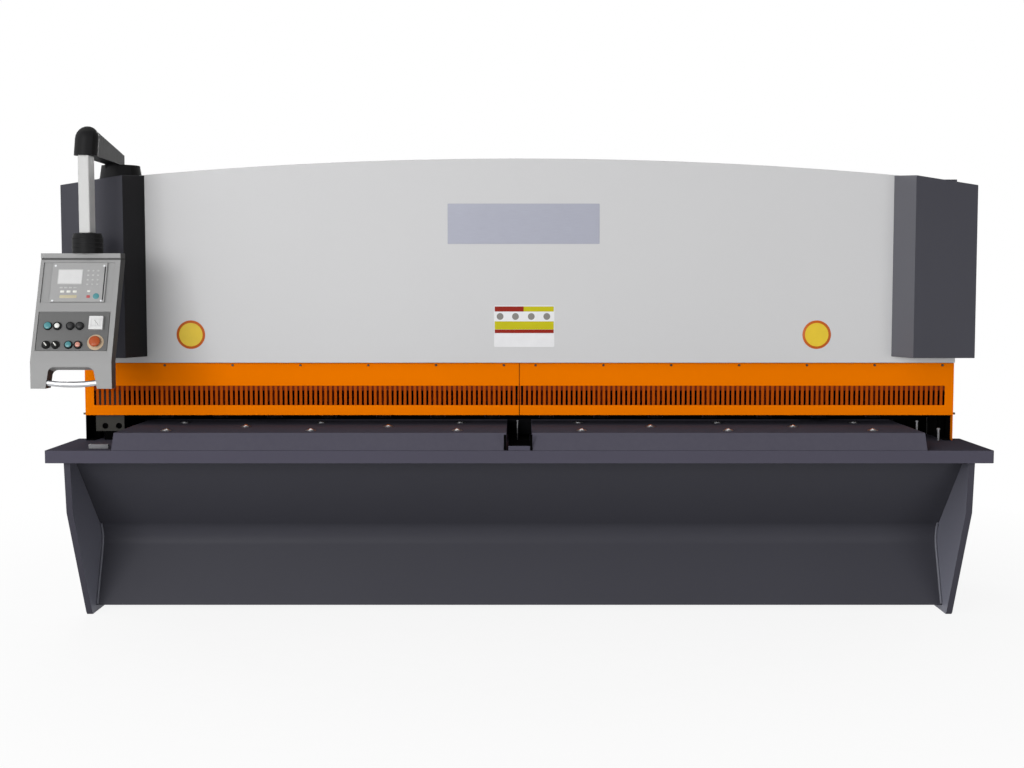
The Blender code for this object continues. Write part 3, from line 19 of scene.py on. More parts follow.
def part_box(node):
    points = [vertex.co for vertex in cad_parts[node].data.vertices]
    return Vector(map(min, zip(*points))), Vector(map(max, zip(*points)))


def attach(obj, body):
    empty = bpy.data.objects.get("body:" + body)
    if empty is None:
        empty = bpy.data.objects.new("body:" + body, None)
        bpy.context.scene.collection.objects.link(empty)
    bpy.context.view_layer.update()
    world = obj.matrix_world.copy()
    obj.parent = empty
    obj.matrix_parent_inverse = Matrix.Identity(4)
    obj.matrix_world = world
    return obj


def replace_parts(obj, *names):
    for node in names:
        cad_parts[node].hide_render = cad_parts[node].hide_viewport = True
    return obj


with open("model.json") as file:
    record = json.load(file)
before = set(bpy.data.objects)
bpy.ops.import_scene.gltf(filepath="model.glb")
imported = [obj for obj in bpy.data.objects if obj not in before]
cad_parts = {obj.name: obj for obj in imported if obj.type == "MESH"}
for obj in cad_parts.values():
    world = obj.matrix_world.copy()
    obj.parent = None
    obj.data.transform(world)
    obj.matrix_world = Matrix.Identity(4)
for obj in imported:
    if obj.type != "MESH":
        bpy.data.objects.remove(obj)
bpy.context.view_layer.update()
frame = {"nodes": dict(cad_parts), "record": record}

# %% [markdown]
# ## The viewpoint
#
# The machine was seen from in front, a little above the height of its guard. A camera is a
# pinhole with a focal length, so the same lens at the same place gives the same picture. The
# lens is written in pixels of the picture's width, because that is how it was measured, and
# Blender's millimetres follow from the sensor's width. The vanishing point was a few pixels to
# the right of the middle, which is a shift of the lens and not a turn of the camera.

# %% Camera
PICTURE_WIDTH = 1024
FOCAL_PIXELS = 1450.0
VANISHING_SHIFT = 7.33
SENSOR_WIDTH = 36.0
CAMERA_BACK = 7.8147
CAMERA_HEIGHT = 1.7049
CAMERA_DIP = math.radians(3.936)

lens = bpy.data.cameras.new("viewpoint")
lens.sensor_width = SENSOR_WIDTH
lens.lens = FOCAL_PIXELS * SENSOR_WIDTH / PICTURE_WIDTH
lens.shift_x = -VANISHING_SHIFT / PICTURE_WIDTH
camera = bpy.data.objects.new("viewpoint", lens)
camera.location = (0, -CAMERA_BACK, CAMERA_HEIGHT)
camera.rotation_euler = (math.pi / 2 - CAMERA_DIP, 0, 0)
bpy.context.collection.objects.link(camera)
bpy.context.scene.camera = camera
bpy.context.scene.view_settings.view_transform = "Standard"
print("lens:", round(lens.lens, 2), "mm")

# %% [markdown]
# ## Shader maths as Python
#
# A procedural finish is a small sum: a colour, plus a little noise, times a mask. Written as
# nodes alone it takes many lines to say what one line of Python says, so one class wraps a
# node's output and turns Python's operators into Math nodes. The reflected forms are there too,
# so that `1 - mask` works as well as `mask - 1`. Every other node comes from one method, which
# takes the node's type, its settings, and the values or links of its sockets.

# %% Wires
class Wire:
    """A node's output, on which Python's operators add Math nodes."""

    def __init__(self, canvas, socket):
        self.canvas = canvas
        self.socket = socket

    def maths(self, operation, first, second):
        return self.canvas.node("ShaderNodeMath", {"operation": operation}, {0: first, 1: second})

    def __add__(self, other):
        return self.maths("ADD", self, other)

    def __radd__(self, other):
        return self.maths("ADD", other, self)

    def __sub__(self, other):
        return self.maths("SUBTRACT", self, other)

    def __rsub__(self, other):
        return self.maths("SUBTRACT", other, self)

    def __mul__(self, other):
        return self.maths("MULTIPLY", self, other)

    def __rmul__(self, other):
        return self.maths("MULTIPLY", other, self)

    def __gt__(self, other):
        return self.maths("GREATER_THAN", self, other)

    def __lt__(self, other):
        return self.maths("LESS_THAN", self, other)


print("a wire adds nodes for + - * > <")

# %% [markdown]
# ## One method for the other nodes
#
# Each kind of node could have its own helper, but they are all made alike: settings first, then the
# values or links of the sockets. So one method makes them, and short ones built on it say what a
# painter wants, such as noise, a span from one number to another, or two colours under a mask.

# %% Canvases
# The Mix node has a set of sockets for each kind of value; these are the ones for colours.
MIX_MASK, MIX_FIRST, MIX_SECOND, MIX_RESULT = 0, 6, 7, 2


class Canvas:
    """A node tree that is filled one node at a time."""

    def __init__(self, tree):
        self.tree = tree
        self.tree.nodes.clear()

    def node(self, kind, settings=None, inputs=None, output=0):
        made = self.tree.nodes.new(kind)
        for name, value in (settings or {}).items():
            if name == "stops":
                self.set_stops(made.color_ramp.elements, value)
            else:
                setattr(made, name, value)
        for key, value in (inputs or {}).items():
            if isinstance(value, Wire):
                self.tree.links.new(value.socket, made.inputs[key])
            else:
                made.inputs[key].default_value = value
        return Wire(self, made.outputs[output]) if len(made.outputs) else made

    def set_stops(self, elements, stops):
        while len(elements) < len(stops):
            elements.new(1.0)
        for element, (place, colour) in zip(elements, stops):
            element.position = place
            element.color = colour

    def blend(self, mask, first, second):
        """Mix two colours by a mask."""
        settings = {"data_type": "RGBA", "blend_type": "MIX", "clamp_factor": True}
        inputs = {MIX_MASK: mask, MIX_FIRST: first, MIX_SECOND: second}
        return self.node("ShaderNodeMix", settings, inputs, output=MIX_RESULT)

    def noise(self, scale, detail=3.0, stretch=(1, 1, 1)):
        """Noise in metres of the object's own space; a stretch below 1 draws it out along an axis."""
        inputs = {"Vector": self.node("ShaderNodeTexCoord", output="Object"), "Scale": stretch}
        scaled = self.node("ShaderNodeMapping", {"vector_type": "POINT"}, inputs)
        inputs = {"Vector": scaled, "Scale": scale, "Detail": detail}
        return self.node("ShaderNodeTexNoise", None, inputs, output="Fac")

    def relief(self, height, strength, distance):
        """A bump whose full height is a distance in metres."""
        inputs = {"Strength": strength, "Distance": distance, "Height": height}
        return self.node("ShaderNodeBump", None, inputs)

    def span(self, value, source, target):
        """A value carried from one range to another, and held at its ends."""
        inputs = {"Value": value, "From Min": source[0], "From Max": source[1],
                  "To Min": target[0], "To Max": target[1]}
        return self.node("ShaderNodeMapRange", {"clamp": True}, inputs)

    def part(self, vector, axis):
        """One axis of a vector."""
        return self.node("ShaderNodeSeparateXYZ", None, {"Vector": vector}, output=axis)

    def facing_up(self):
        """The share of a surface's normal that points up."""
        return self.part(self.node("ShaderNodeNewGeometry", output="Normal"), "Z")

    def place(self, axis):
        """One coordinate of a point in the machine's frame; what swings uses only its height."""
        return self.part(self.node("ShaderNodeNewGeometry", output="Position"), axis)

    def facing(self, axis):
        """One part of the normal in the piece's own frame."""
        return self.part(self.node("ShaderNodeTexCoord", output="Normal"), axis)

    def unsigned(self, wire):
        """A value without its sign."""
        return self.node("ShaderNodeMath", {"operation": "ABSOLUTE"}, {0: wire})

    def seen_directly(self):
        """One for rays that come from the camera or from gloss or glass, zero for the rest."""
        seen = self.node("ShaderNodeLightPath", output="Is Camera Ray")
        seen = seen + self.node("ShaderNodeLightPath", output="Is Glossy Ray")
        return seen + self.node("ShaderNodeLightPath", output="Is Transmission Ray")


print("a canvas makes every other node with one method")

# %% [markdown]
# ## Colours
#
# A colour picked on a screen is in sRGB, while the renderer adds light in linear values. Typing
# linear numbers by hand is hard to judge, so a function turns the usual six-figure code into them.

# %% Colours and materials
SRGB_KNEE = 0.04045


def tone(code):
    """A linear colour from a six-figure sRGB code."""
    parts = [int(code[place:place + 2], 16) / 255 for place in (0, 2, 4)]
    linear = [part / 12.92 if part <= SRGB_KNEE else ((part + 0.055) / 1.055) ** 2.4 for part in parts]
    return (*linear, 1.0)


def scaled(colour, share):
    """A colour made lighter or darker."""
    return (*[part * share for part in colour[:3]], 1.0)


def new_material(name):
    """An empty material and its canvas."""
    material = bpy.data.materials.new(name)
    material.use_nodes = True
    return material, Canvas(material.node_tree)


def close_material(canvas, shader):
    """Feed a shader to the material's output."""
    canvas.node("ShaderNodeOutputMaterial", None, {"Surface": shader})


def coated(material, canvas, inputs):
    """Close a material with one Principled shader."""
    close_material(canvas, canvas.node("ShaderNodeBsdfPrincipled", None, inputs))
    return material


print("orange in linear light:", [round(part, 3) for part in tone("ea7600")[:3]])

# %% [markdown]
# ## Light and floor
#
# Machines are photographed in a pale room with soft light from the front and a little from the
# left. The world gives the soft part. Only the rays that the camera, gloss and glass send out see
# the world as white: what lights the machine is dimmer, so that dark paint stays dark. The floor
# is mostly white in itself, near the machine a little less, so that it still holds its shadow.

# %% World
ROOM_LIGHT = 0.18
world = bpy.data.worlds.new("studio")
bpy.context.scene.world = world
world.use_nodes = True
room = Canvas(world.node_tree)
dim = room.node("ShaderNodeBackground", None, {"Color": (1, 1, 1, 1), "Strength": ROOM_LIGHT})
white = room.node("ShaderNodeBackground", None, {"Color": (1, 1, 1, 1), "Strength": 1.0})
shown = room.node("ShaderNodeMixShader", None, {0: room.seen_directly(), 1: dim, 2: white})
room.node("ShaderNodeOutputWorld", None, {"Surface": shown})
print("room light:", ROOM_LIGHT)

# %% [markdown]
# ## Lamps
#
# The glossy covers and the rounded edges need something to reflect. Large soft panels in front and
# behind give them wide, quiet highlights, and a weak sun from the side parts the machine's flanks
# from its front. Small lamps would leave hard spots that the machine doesn't show.

# %% Lamps
AIM = Vector((0, -0.3, 1.2))
FRONT_LAMP_PLACE = Vector((-4.2, -9.2, 2.7))
FRONT_LAMP_SIZE = (5.0, 3.0)
FRONT_LAMP_POWER = 490.0
SIDE_LAMP_PLACE = Vector((-6.0, -3.6, 2.3))
SIDE_LIGHT = 1.60
SIDE_LIGHT_SPREAD = math.radians(90)
FILL_LAMP_PLACE = Vector((5.4, -8.4, 0.9))
FILL_LAMP_SIZE = (4.0, 2.0)
FILL_LAMP_POWER = 190.0
BACK_LAMP_PLACE = Vector((-3.5, 9.0, 4.0))
BACK_LAMP_SIZE = (5.0, 3.0)
BACK_LAMP_POWER = 600.0


def hang_lamp(lamp, place):
    """Put a lamp at a place and turn it towards the machine."""
    holder = bpy.data.objects.new(lamp.name, lamp)
    holder.location = place
    holder.rotation_euler = (AIM - place).to_track_quat("-Z", "Y").to_euler()
    bpy.context.collection.objects.link(holder)


def hang_panel(name, place, size, power):
    """A soft rectangular lamp."""
    lamp = bpy.data.lights.new(name, "AREA")
    lamp.shape = "RECTANGLE"
    lamp.size, lamp.size_y = size
    lamp.energy = power
    hang_lamp(lamp, place)
    print(name, power, "W")


hang_panel("front_lamp", FRONT_LAMP_PLACE, FRONT_LAMP_SIZE, FRONT_LAMP_POWER)
hang_panel("fill_lamp", FILL_LAMP_PLACE, FILL_LAMP_SIZE, FILL_LAMP_POWER)
hang_panel("back_lamp", BACK_LAMP_PLACE, BACK_LAMP_SIZE, BACK_LAMP_POWER)
side_lamp = bpy.data.lights.new("side_lamp", "SUN")
side_lamp.energy = SIDE_LIGHT
side_lamp.angle = SIDE_LIGHT_SPREAD
hang_lamp(side_lamp, SIDE_LAMP_PLACE)
print("side light:", side_lamp.energy)

# %% [markdown]
# ## Floor
#
# A pale floor could be one shader, but then its shadow ends in grey far from the machine. Here it
# gives more light of its own the further it is from the middle, so the shadow stays at the legs and
# the rest melts into the white room.

# %% Floor
FLOOR_HALF = 40.0
SHADOW_KEPT = 0.12
SHADOW_NEAR = 1.8
SHADOW_FAR = 5.0
SPECKLE_SCALE = 9.0
BOUNCE = tone("cccccc")

floor_paint, canvas = new_material("floor_paint")
place = canvas.node("ShaderNodeNewGeometry", output="Position")
far = canvas.node("ShaderNodeVectorMath", {"operation": "LENGTH"}, {0: place}, output="Value")
kept = canvas.span(far, (SHADOW_NEAR, SHADOW_FAR), (SHADOW_KEPT, 0.0))
seen = canvas.seen_directly()
stone = canvas.blend(canvas.noise(SPECKLE_SCALE), tone("ffffff"), tone("f4f4f4"))
stone = canvas.blend(seen, BOUNCE, stone)
matt = canvas.node("ShaderNodeBsdfDiffuse", None, {"Color": stone})
glow = canvas.node("ShaderNodeEmission", None, {"Color": (1, 1, 1, 1), "Strength": 1.0})
shown = canvas.node("ShaderNodeMixShader", None, {0: seen * (1 - kept), 1: matt, 2: glow})
close_material(canvas, shown)

floor_mesh = bmesh.new()
bmesh.ops.create_grid(floor_mesh, x_segments=1, y_segments=1, size=FLOOR_HALF)
floor_data = bpy.data.meshes.new("floor")
floor_mesh.to_mesh(floor_data)
floor_mesh.free()
floor_data.materials.append(floor_paint)
floor = bpy.data.objects.new("floor", floor_data)
bpy.context.collection.objects.link(floor)
print("floor:", 2 * FLOOR_HALF, "m square")

# %% [markdown]
# ## Paint
#
# The frame, the covers and the panel are sprayed steel. Sprayed paint isn't flat: it has a fine
# skin like orange peel, its tone drifts a little over a metre, dust settles on what faces up, and
# hands polish it unevenly. Each of those is one noise at its own scale. The skin is a bump of about
# a tenth of a millimetre, which only the highlights show.

# %% Sprayed paint
DRIFT_SCALE = 1.1
MOTTLE_SCALE = 38.0
MOTTLE_LIGHT = 1.35
NOISE_MEAN = 0.5
SHEEN_DRIFT = 0.10
PEEL_SCALE, PEEL_STRENGTH, PEEL_HEIGHT = 420.0, 0.35, 0.0004
TURNED = 0.5
DUST = tone("8a8a86")


def sprayed(name, code, roughness, drift=0.07, dust=0.06, gloss=0.5, shade=None):
    """Sprayed enamel with a drifting tone, fine mottle, dust on top and an orange-peel skin.

    A shade is a function that gets the canvas and the colour so far, and gives a mask and the two
    colours that it parts, for a stretch of the surface that gets painted light or shade, or another paint.
    """
    material, canvas = new_material(name)
    colour = tone(code)
    slow = canvas.noise(DRIFT_SCALE, 2.0)
    fine = canvas.noise(MOTTLE_SCALE, 6.0)
    base = canvas.blend(slow, scaled(colour, 1 - drift), scaled(colour, 1 + drift))
    base = canvas.blend(fine * drift, base, scaled(colour, MOTTLE_LIGHT))
    settled = (canvas.facing_up() > TURNED) * fine * dust
    base = canvas.blend(settled, base, DUST)
    if shade:
        base = canvas.blend(*shade(canvas, base))
    rough = roughness + (fine - NOISE_MEAN) * SHEEN_DRIFT + settled
    bump = canvas.relief(canvas.noise(PEEL_SCALE, 2.0), PEEL_STRENGTH, PEEL_HEIGHT)
    return coated(material, canvas, {"Base Color": base, "Roughness": rough, "Normal": bump,
                                     "Specular IOR Level": gloss})


print("one function for sprayed paint")

# %% [markdown]
# ## Painted light and shade
#
# Light doesn't fall evenly on a machine: the throat and the space under the guard lie in shade, one
# cover's flank is lit and the other shaded, and the floor lights the legs from below. This light and
# shade is painted into the colours. Such marks could be painted by hand into an image. Here each is a
# mask from a point's place and from the way its surface faces, which needs no unwrapping and stays
# sharp at any distance.

# %% Shades
# A near-black tone of painted shade, for the throat, the space under the guard and the unlit sides.
SHADE_TONE = tone("0d0c0c")
BEAM_BACK_GREY, BAR_SHADE = tone("2b2a30"), tone("98380c")
# Painted light: a pale tone for the lit flank and one for the legs' sides that the floor lights.
FLANK_LIGHT, FLOOR_LIGHT = tone("8a8a90"), tone("8a8b98")
GUARD_EDGE = 1.0285
SLOT_LOW, SLOT_HIGH, SLOTS_END = 1.079, 1.181, 2.20
THROAT_LOW, THROAT_HIGH = 0.896, 1.42
FRAME_OUTSIDE = 2.2385
END_POST_BACK = -0.2850
LID_SEAM = (1.8215, 1.8315)
FLANK_TURN, WALL_TURN = 0.6, 0.7
# How strongly each mask lays on its painted shade or light: the bars, the lit flank, the lid seam and the
# unlit sides.
BAR_SHARE, FLANK_LIGHT_SHARE, SEAM_SHADE_SHARE, SIDE_SHADE_SHARE = 0.80, 0.36, 0.70, 0.88
FLOOR_LIGHT_HEIGHTS, FLOOR_LIGHT_SHARES = (0.1, 0.8), (0.9, 0.3)


def below_guard(canvas, base):
    """Rust primer shows only on what faces the slots; the fronts below the guard's edge get painted shade,
    and the other faces a dark grey.
    """
    faces_slots = (canvas.place("Z") > GUARD_EDGE) * (-TURNED > canvas.facing("Y"))
    return faces_slots, canvas.blend(canvas.facing("Y") > -TURNED, SHADE_TONE, BEAM_BACK_GREY), base


def end_plate_shade(canvas, base):
    """The end plates are orange outside and on the right one's front edge; painted shade darkens the left
    one below the guard's edge and the right one inside.
    """
    across = canvas.place("X")
    left_and_low = (0 > across) * (GUARD_EDGE > canvas.place("Z"))
    right_inside = (across > 0) * (canvas.place("Y") > END_POST_BACK) * (TURNED > canvas.facing("X"))
    return left_and_low + right_inside, base, SHADE_TONE


def slot_shade(canvas, base):
    """The narrow bars between the slots get less light than the sheet round them."""
    inside = (canvas.place("Z") > SLOT_LOW) * (SLOT_HIGH > canvas.place("Z"))
    inside = inside * (SLOTS_END > canvas.unsigned(canvas.place("X")))
    return inside * BAR_SHARE, base, BAR_SHADE


def flank_shade(canvas, base):
    """Painted light on the cover's flank that looks left, and painted shade on the one that looks right."""
    across = canvas.facing("X")
    lit_flank = canvas.blend((-FLANK_TURN > across) * FLANK_LIGHT_SHARE, base, FLANK_LIGHT)
    return (across > FLANK_TURN) * SIDE_SHADE_SHARE, lit_flank, SHADE_TONE


def wall_shade(canvas, base):
    """Painted shade darkens the pendant's and the arm's right sides, and the seam under the lid."""
    height = canvas.place("Z")
    seam = (height > LID_SEAM[0]) * (LID_SEAM[1] > height)
    return (canvas.facing("X") > WALL_TURN) * SIDE_SHADE_SHARE + seam * SEAM_SHADE_SHARE, base, SHADE_TONE


def tongue_shade(canvas, base):
    """Painted shade darkens the tongue's top."""
    return canvas.facing_up() > TURNED, base, SHADE_TONE


def side_shade(canvas, base):
    """Painted shade darkens the throat inside, and painted light from the floor makes the legs' sides paler
    towards the floor.
    """
    height = canvas.place("Z")
    floor_lit = canvas.span(height, FLOOR_LIGHT_HEIGHTS, FLOOR_LIGHT_SHARES)
    floor_lit = floor_lit * (canvas.unsigned(canvas.facing("X")) > TURNED)
    throat = (height > THROAT_LOW) * (THROAT_HIGH > height)
    inside = throat * (FRAME_OUTSIDE > canvas.unsigned(canvas.place("X")))
    return inside, canvas.blend(floor_lit, base, FLOOR_LIGHT), SHADE_TONE


print("shades for the throat, the guard, the covers, the legs and the pendant")

# %% [markdown]
# ## This machine's paints
#
# With the finishes as functions, each paint is one line. The dark frame has several near shades,
# which are lit and shaded copies of one paint: the table and its tongue are painted lighter, and the
# apron darker, for the way the light falls on them. The shade functions paint more light and shade
# into some of them.

# %% Paints of this machine
orange = {"code": "ea7600", "roughness": 0.50, "drift": 0.05, "dust": 0.0, "gloss": 0.0}
frame_paint = sprayed("frame_paint", "403f48", 0.50, gloss=0.12)
# Painted shade: the apron's paint is a darker copy of the frame's.
apron_paint = sprayed("apron_paint", "3e3e45", 0.50, gloss=0.10)
side_paint = sprayed("side_paint", "403f48", 0.50, gloss=0.12, shade=side_shade)
# Painted light: the table's and the tongue's paint is a lighter copy of the frame's.
table_paint = sprayed("table_paint", "4e4c58", 0.62, gloss=0.0)
tongue_paint = sprayed("tongue_paint", "4e4c58", 0.62, gloss=0.0, shade=tongue_shade)
bracket_paint = sprayed("bracket_paint", "3c3b38", 0.62, drift=0.3, gloss=0.05)
# Painted shade: near-black sheets stand for the dark gaps in the throats, the notch and behind the guard.
shade_black = sprayed("shade_black_sheet", "070707", 0.80, gloss=0.0)
dim_paint = sprayed("dim_paint", "17171a", 0.60, gloss=0.10)
primer = sprayed("rust_primer", "6a2410", 0.65, gloss=0.05, shade=below_guard)
cover_paint = sprayed("cover_paint", "3f3f46", 0.48, gloss=0.10, shade=flank_shade)
panel_paint = sprayed("panel_paint", "c7c7c8", 0.50, drift=0.015, dust=0.03, gloss=0.25)
guard_paint = sprayed("guard_paint", shade=slot_shade, **orange)
end_paint = sprayed("guard_end_paint", shade=end_plate_shade, **orange)
pendant_paint = sprayed("pendant_paint", "969696", 0.52, drift=0.03, gloss=0.15, shade=wall_shade)
plate_paint = sprayed("plate_paint", "666666", 0.50, drift=0.10, gloss=0.20)
black_paint = sprayed("black_paint", "19191a", 0.50, drift=0.10, gloss=0.08, shade=wall_shade)
tube_paint = sprayed("tube_paint", "bcbcbb", 0.40, drift=0.02, gloss=0.3)
motor_paint = sprayed("motor_paint", "5b6a78", 0.45)
# Painted shade: the blades, guides and stop bar lie in the dark gap under the guard, so their steel is
# near-black.
shade_dark_steel = sprayed("shade_dark_steel", "1c1c1e", 0.60, gloss=0.0)
lip_steel = sprayed("lip_steel", "77777a", 0.55, gloss=0.05)
# Painted highlight: the weld beads are a lighter, glossier copy of the frame's paint.
bead_paint = sprayed("bead_paint", "6c6d76", 0.45, drift=0.2, gloss=0.3)
print("sprayed finishes:", len(bpy.data.materials))

# %% [markdown]
# ## Bare steel
#
# Blades, rods, screws and pins are bare. Ground and turned steel carry fine parallel lines, so
# the noise is stretched along one axis until it becomes lines, and those lines drive both the
# roughness and a faint bump. A thin film of oil leaves darker patches.

# %% Steel
BRUSH_SCALE, OIL_SCALE = 900.0, 14.0
DRAWN_OUT = {"X": (0.02, 1, 1), "Z": (1, 1, 0.02)}
LINE_DARK, LINE_LIGHT, LINE_SHEEN = 0.86, 1.10, 0.14
LINE_STRENGTH, LINE_HEIGHT = 0.15, 0.0002
OIL_DARK, OIL_SHEEN = 0.45, 0.12


def steel(name, code, roughness, along="Z", oil=0.25, metallic=1.0):
    """Steel with lines drawn out along one axis, and a patchy film of oil."""
    material, canvas = new_material(name)
    colour = tone(code)
    lines = canvas.noise(BRUSH_SCALE, 2.0, DRAWN_OUT[along])
    film = canvas.noise(OIL_SCALE, 4.0)
    base = canvas.blend(lines, scaled(colour, LINE_DARK), scaled(colour, LINE_LIGHT))
    base = canvas.blend(film * oil, base, scaled(colour, OIL_DARK))
    rough = roughness + (lines - NOISE_MEAN) * LINE_SHEEN + (film - NOISE_MEAN) * OIL_SHEEN
    bump = canvas.relief(lines, LINE_STRENGTH, LINE_HEIGHT)
    return coated(material, canvas, {"Base Color": base, "Metallic": metallic, "Roughness": rough,
                                     "Normal": bump})


machined_steel = steel("machined_steel", "c4c5c8", 0.36)
zinc_screws = steel("zinc_screws", "d2d4d6", 0.28, oil=0.10)
cup_steel = steel("cup_steel", "6e6e70", 0.42, oil=0.5)
dark_screws = steel("dark_screws", "4a4038", 0.45, oil=0.5)
pin_steel = steel("pin_steel", "808083", 0.45, oil=0.4, metallic=0.6)
ball_chrome = steel("ball_chrome", "e8e9ea", 0.10, along="X", oil=0.05)
name_plate = steel("name_plate_metal", "9b9daa", 0.50, along="X", oil=0.05, metallic=0.15)
print("steel finishes: machined, zinc, cup, dark, pin, chrome and plate")

# %% [markdown]
# ## Plastics and labels
#
# The pendant's keys, bezels and lamps are moulded plastic, which has a finer and softer skin than
# paint, and printed foil looks much the same. One function serves them all, with the colour and the
# gloss as arguments, because they differ in little else.

# %% Moulded plastic
CLOUD_SCALE, CLOUD_SHEEN = 25.0, 0.08
CLOUD_DARK, CLOUD_LIGHT = 0.94, 1.05
GRAIN_SCALE, GRAIN_HEIGHT = 1400.0, 0.0001


def moulded(name, code, roughness, coat=0.0, grain=0.2, gloss=0.5):
    """Moulded plastic with a fine grain and a faint unevenness in its tone."""
    material, canvas = new_material(name)
    colour = tone(code)
    cloud = canvas.noise(CLOUD_SCALE, 3.0)
    base = canvas.blend(cloud, scaled(colour, CLOUD_DARK), scaled(colour, CLOUD_LIGHT))
    rough = roughness + (cloud - NOISE_MEAN) * CLOUD_SHEEN
    bump = canvas.relief(canvas.noise(GRAIN_SCALE, 2.0), grain, GRAIN_HEIGHT)
    return coated(material, canvas, {"Base Color": base, "Roughness": rough, "Normal": bump,
                                     "Coat Weight": coat, "Specular IOR Level": gloss})


black_plastic = moulded("black_plastic", "0f0f10", 0.50, gloss=0.15)
key_grey = moulded("key_grey", "b4b4b4", 0.5)
key_white = moulded("key_white", "dcdcd6", 0.45)
key_cream = moulded("key_cream", "b9b094", 0.45)
key_red = moulded("key_red", "a84a4c", 0.45)
button_teal = moulded("button_teal", "347c82", 0.35, coat=0.3)
button_white = moulded("button_white", "dededa", 0.35, coat=0.3)
button_salmon = moulded("button_salmon", "bd8070", 0.35, coat=0.3)
cap_grey = moulded("cap_grey", "262627", 0.45, coat=0.1, gloss=0.2)
stop_red = moulded("stop_red", "a0461c", 0.45, coat=0.1, gloss=0.2)
ring_cream = moulded("ring_cream", "b6a084", 0.45)
meter_case = moulded("meter_case", "dadada", 0.4)
meter_face = moulded("meter_face", "d0d0d0", 0.35, coat=0.2)
screen_glass = moulded("screen_glass", "d0d0d0", 0.20, coat=0.3, grain=0.0)
controller_skin = moulded("controller_skin", "989898", 0.45)
sign_yellow = moulded("sign_yellow", "dcbc2c", 0.42, gloss=0.2)
sign_orange = moulded("sign_orange", "bc5a16", 0.42, gloss=0.2)
label_red = moulded("label_red", "8a1a08", 0.40, gloss=0.15)
label_yellow = moulded("label_yellow", "bcb410", 0.40, gloss=0.15)
label_pale = moulded("label_pale", "dcdcde", 0.42)
label_grey = moulded("label_grey", "77736e", 0.42)
oil_glass = moulded("oil_glass", "b98a2e", 0.15, coat=0.6, grain=0.0)
print("finishes in all:", len(bpy.data.materials))

# %% [markdown]
# ## Rounded copies of the solids
#
# The solids are exact but their edges are razor sharp and their faces are triangles. Real plate
# has a broken edge a millimetre or two wide that catches the light. Each solid gets a stand-in:
# its points are welded, its flat triangles are joined into whole faces, its sharp edges get a
# small bevel, and weighted normals keep the flat faces flat.

# %% Rounded stand-ins
WELD_DISTANCE = 0.00001
FLAT_ANGLE = math.radians(0.4)
EDGE_ANGLE = math.radians(30)
SMOOTH_ANGLE = math.radians(38)
bodies = frame["record"]["behaviour"]["bodies"]
body_of_node = {node: body for body, nodes in bodies.items() for node in nodes}


def publish(name, shape, finish, body, smooth=SMOOTH_ANGLE, weighted=False):
    """Make an object of a bmesh, give it a finish, and let it ride on a body."""
    data = bpy.data.meshes.new(name)
    shape.to_mesh(data)
    shape.free()
    if "custom_normal" in data.attributes:
        data.attributes.remove(data.attributes["custom_normal"])
    data.shade_smooth()
    data.set_sharp_from_angle(angle=smooth)
    data.materials.clear()
    data.materials.append(finish)
    piece = bpy.data.objects.new(name, data)
    bpy.context.collection.objects.link(piece)
    if weighted:
        piece.modifiers.new("flat_faces", "WEIGHTED_NORMAL").keep_sharp = True
    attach(piece, body)
    return piece


def welded(node):
    """A bmesh of a solid, with its points joined and its flat triangles made one face."""
    shape = bmesh.new()
    shape.from_mesh(frame["nodes"][node].data)
    bmesh.ops.remove_doubles(shape, verts=shape.verts, dist=WELD_DISTANCE)
    bmesh.ops.dissolve_limit(shape, angle_limit=FLAT_ANGLE, verts=shape.verts, edges=shape.edges)
    return shape


def break_edges(shape, width, steps, edges=None):
    """Bevel the edges given, or else every edge that turns by more than the edge angle."""
    if edges is None:
        edges = [edge for edge in shape.edges
                 if len(edge.link_faces) == 2 and edge.calc_face_angle(0) > EDGE_ANGLE]
    bmesh.ops.bevel(shape, geom=edges, offset=width, segments=steps, profile=0.5, affect="EDGES",
                    clamp_overlap=True)


def rounded(node, finish, width, steps, pulled=None):
    """Stand a rounded copy of a solid in its place, with one corner pulled in if need be."""
    shape = welded(node)
    if pulled:
        corner, shift = pulled
        nearest = min(shape.verts, key=lambda point: (point.co - corner).length)
        nearest.co += shift
    break_edges(shape, width, steps)
    piece = publish(f"{node}_finished", shape, finish, body_of_node[node], weighted=True)
    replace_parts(piece, node)


print("solids to round:", len(body_of_node))

# %% [markdown]
# ## Dressing them all
#
# Every solid gets its finish and the width of its broken edges. That could be a call for each solid,
# but a table with one row for each treatment is easier to read and to change.

